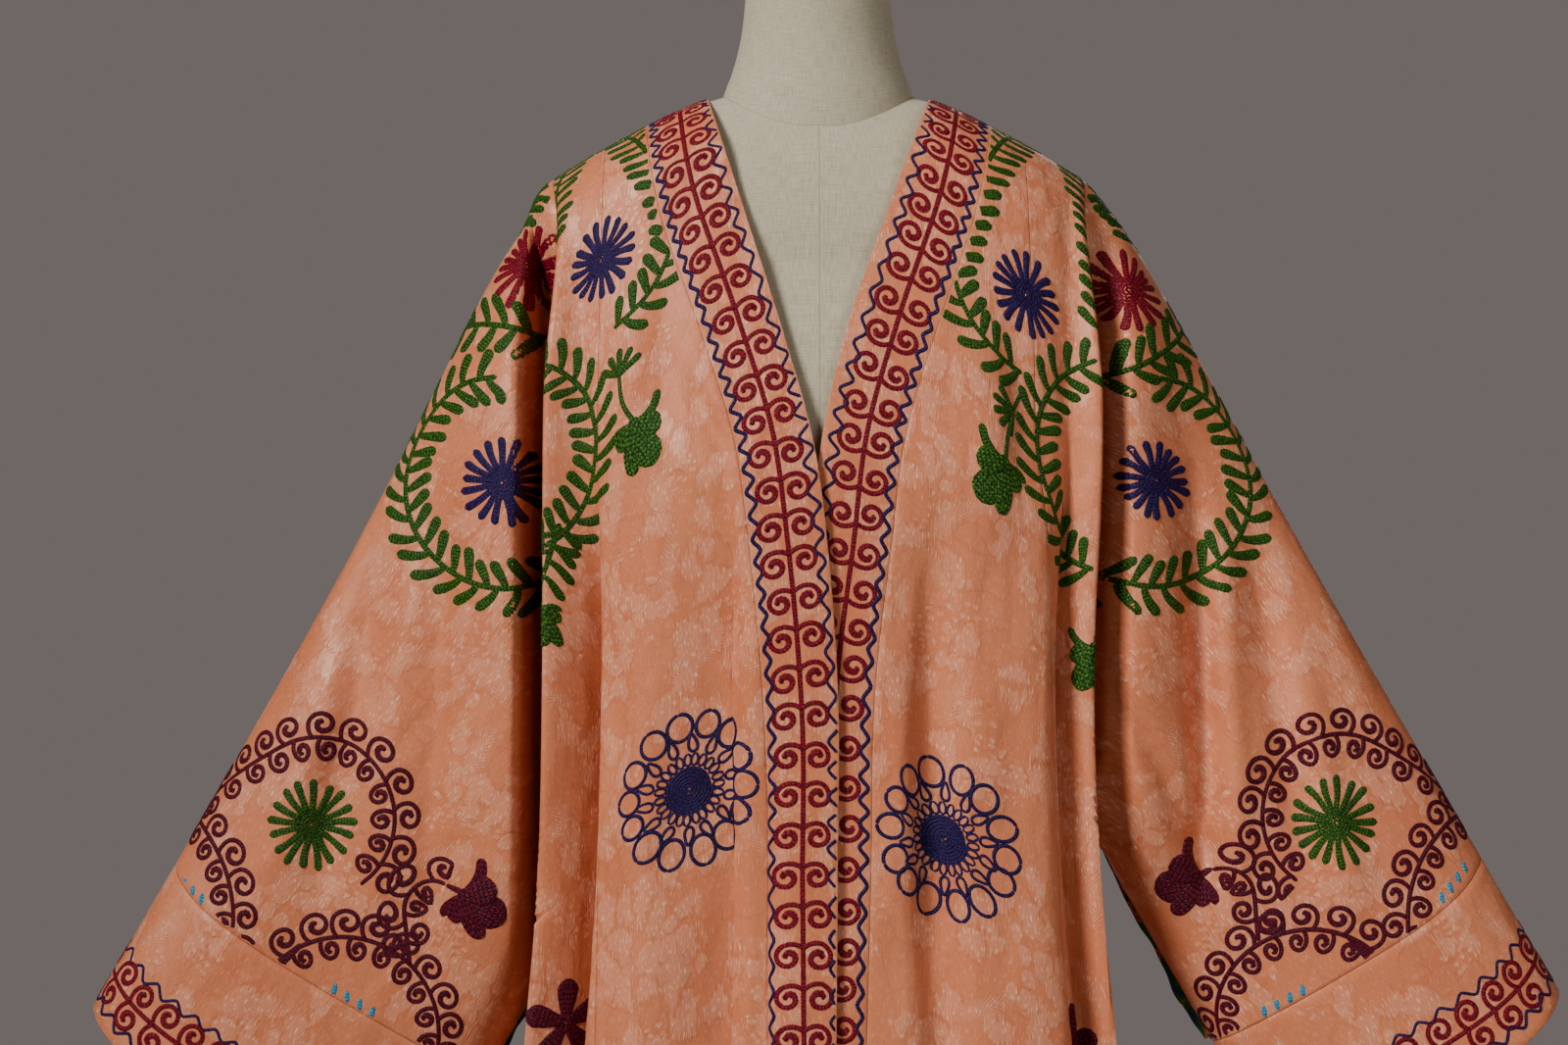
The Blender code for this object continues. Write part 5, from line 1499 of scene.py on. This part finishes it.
def work_front(place, shift):
    """Works everything on one front, or the same things on the back."""
    for at, guide in LEAFY:
        if at == place[0]:
            leafy_stem(place[1], "green", shift(guide))
    for at, colour, guide, turn, size, mirror in BUDS:
        if at == place[0]:
            guide = shift(guide)
            stitch(place[1], colour, smooth(guide), (0.0036, 0.0044))
            mirror = mirror if shift is as_it_is else -mirror
            bud(place[1], colour, guide[-1], math.radians(turn), size, mirror)
    for at, middle, turn in TUFTS:
        if at == place[0]:
            middle = shift([middle])[0]
            for i in range(5):
                way = heading(math.radians(turn - 62 + 31 * i))
                points = [middle + way * r for r in (0, 0.010, 0.0205)]
                stitch(place[1], "green", smooth(points, 0.002), (0.004, 0.006, 0.0076))
    for at, colour, middle, reach in ROSETTES:
        if at == place[0]:
            rosette(place[1], colour, shift([middle])[0], np.array(reach) / 1000)
    for at, middle, size in RING_FLOWERS:
        if at == place[0]:
            middle = middle if shift is as_it_is else (math.copysign(192, middle[0]), 590)
            ring_flower(place[1], "navy", shift([middle])[0], size)


def as_it_is(points):
    return np.asarray(points, float) / 1000


def on_the_back(points):
    """The same places seen from behind, measured from the middle of the back."""
    return np.asarray(points, float) * (-0.96, 1) / 1000


for word in ("left", "right"):
    work_front((f"front_{word}", f"front_{word}"), as_it_is)
    work_front((f"front_{word}", "back"), on_the_back)

# The skirt, alike on both fronts and doubled on the back.
for side, shift, front, panel in (
    (-1, as_it_is, "front_left", "side_left"),
    (1, as_it_is, "front_right", "side_right"),
    (-1, on_the_back, "back", "back"),
    (1, on_the_back, "back", "back"),
):
    turn = -side if shift is on_the_back else side
    flip = lambda points: shift([(side * x, y) for x, y in points])
    out, low = (276, 729) if (side, shift) == (-1, as_it_is) else (216, 748)
    open_flower(panel, "maroon", flip([(out, low)])[0], 0.95)
    curve = [(out, 772), (out + 28, 830), (out + 22, 890), (out - 25, 930), (out - 80, 922)]
    scrolled_stem(front, "maroon", flip(curve))
    bud(front, "maroon", flip([(out - 80, 922)])[0], math.radians(turn * 80), 0.95)
    rosette(front, "green", flip([(150, 838)])[0], (0.032, 0.034))
    leafy_stem(front, "green", flip(arc((168, 1060), 84, 80, -100)))
    leafy_stem(front, "green", flip(arc((168, 1060), 84, 100, 235)))
    rosette(front, "navy", flip([(168, 1060)])[0], (0.034, 0.036), 19)
    ring_flower(front, "navy", flip([(305, 1010)])[0], 1.0)
    curve = [(70, 1290), (120, 1225), (190, 1205), (260, 1225), (310, 1180), (365, 1190)]
    scrolled_stem(front, "maroon", flip(curve))
    bud(front, "maroon", flip([(70, 1150)])[0], math.radians(turn * -60), 0.8)
    for x in (110, 200, 290, 380):
        rosette(front, "green" if x % 40 else "crimson", flip([(x, 1300)])[0], (0.027, 0.028))

# Down the middle of the back: a ring flower in a leafy wreath, and an open flower in a curling one.
for middle, reach in ((285, 92), (985, 100)):
    ring_flower("back", "navy", on_the_back([(0, middle)])[0], reach / 82)
    for turn in (-1, 1):
        leafy_stem("back", "green", on_the_back([(turn * x, y) for x, y in arc((0, middle), reach, 84, -62)]))
open_flower("back", "maroon", on_the_back([(0, 560)])[0], 1.15)
for turn in (-1, 1):
    for curve in (arc((0, 560), 84, 82, -75), ((20, 690), (60, 725), (90, 780), (84, 840))):
        scrolled_stem("back", "maroon", on_the_back([(turn * x, y) for x, y in curve]))
    rosette("back", "crimson", on_the_back([(turn * 168, 420)])[0], (0.03, 0.032))

SLEEVES = (
    # kind, colour, left sleeve's places, right sleeve's places, and what else each needs:
    # places are millimetres round from the top fold and down the sleeve
    ("rosette", "crimson", (34, 76), (42, 90), ((22, 37), (22, 35))),
    ("rosette", "navy", (94, 225), (96, 222), ((31, 33), (25, 32))),
    ("rosette", "green", (97, 518), (108, 510), ((34, 34), (34, 34))),
    ("leafy", "green", arc((95, 225), 77, 28, 238), arc((97, 223), 77, 28, 238), None),
    ("leafy", "green", bowed((66, 116), (-8, 150), -3), bowed((88, 138), (-6, 130), 9), None),
    ("leafy", "green", bowed((4, 60), (10, 6), 4), bowed((-4, 70), (8, 6), 3), None),
    (
        "curling", "maroon", wreath((-6, 560), (97, 512), 60, 1, 385),
        wreath((-4, 555), (100, 508), 60, 1, 385), None,
    ),
    ("curling", "maroon", bowed((-8, 562), (94, 634), 22), bowed((-6, 560), (106, 614), 24), None),
    ("curling", "maroon", arc((196, 640), 72, 195, 360), arc((200, 632), 72, 195, 362), None),
    (
        "curling", "maroon", wreath((213, 570), (208, 526), 22, 1, 265),
        wreath((202, 558), (206, 517), 21, 1, 265), None,
    ),
    ("root", "maroon", ((124, 634), (136, 598)), ((133, 622), (143, 587)), None),
    ("bud", "maroon", ((207, 504), (219, 502)), ((204, 495), (213, 495)), (-66, -80)),
    (
        "dots", "turquoise", np.linspace((32, 607), (52, 609), 3),
        np.linspace((36, 591), (66, 600), 4), (-20, -20),
    ),
    (
        "dots", "turquoise", np.linspace((174, 614), (207, 615), 4),
        np.linspace((192, 606), (225, 606), 4), (-20, -20),
    ),
)
for side, word in ((-1, "left"), (1, "right")):
    place = f"sleeve_{word}"
    mine = 0 if side < 0 else 1
    for kind, colour, *spots, more in SLEEVES:
        spots = np.asarray(spots[mine], float) / 1000
        for face in (1, -1):
            here = spots * (face, 1)
            if kind == "rosette":
                rosette(place, colour, here, np.array(more[mine]) / 1000)
            elif kind == "leafy":
                leafy_stem(place, colour, here)
            elif kind == "curling":
                scrolled_stem(place, colour, here, uneven=0.86)
            elif kind == "root":
                stitch(place, colour, smooth(here), (0.0105, 0.008, 0.0045))
            elif kind == "bud":
                stitch(place, colour, smooth(here, 0.002), (0.0036, 0.006))
                bud(place, colour, here[-1], math.radians(face * more[mine]), 1.15, -face, 0.76)
            else:
                dots(place, colour, here, math.radians(face * more[0]))

# The narrow lines of a colour on a place are one mesh, and those with a part over 10 mm wide another.
for (place, colour), strokes in WORKED.items():
    for wide in (False, True):
        chosen = [stroke for stroke in strokes if (stroke[2].max() > 0.0100) == wide]
        if chosen:
            name = f"{colour}_{'fat_' if wide else ''}stitching_{place}"
            stitched_piece(name, place, colour, chosen, wide)
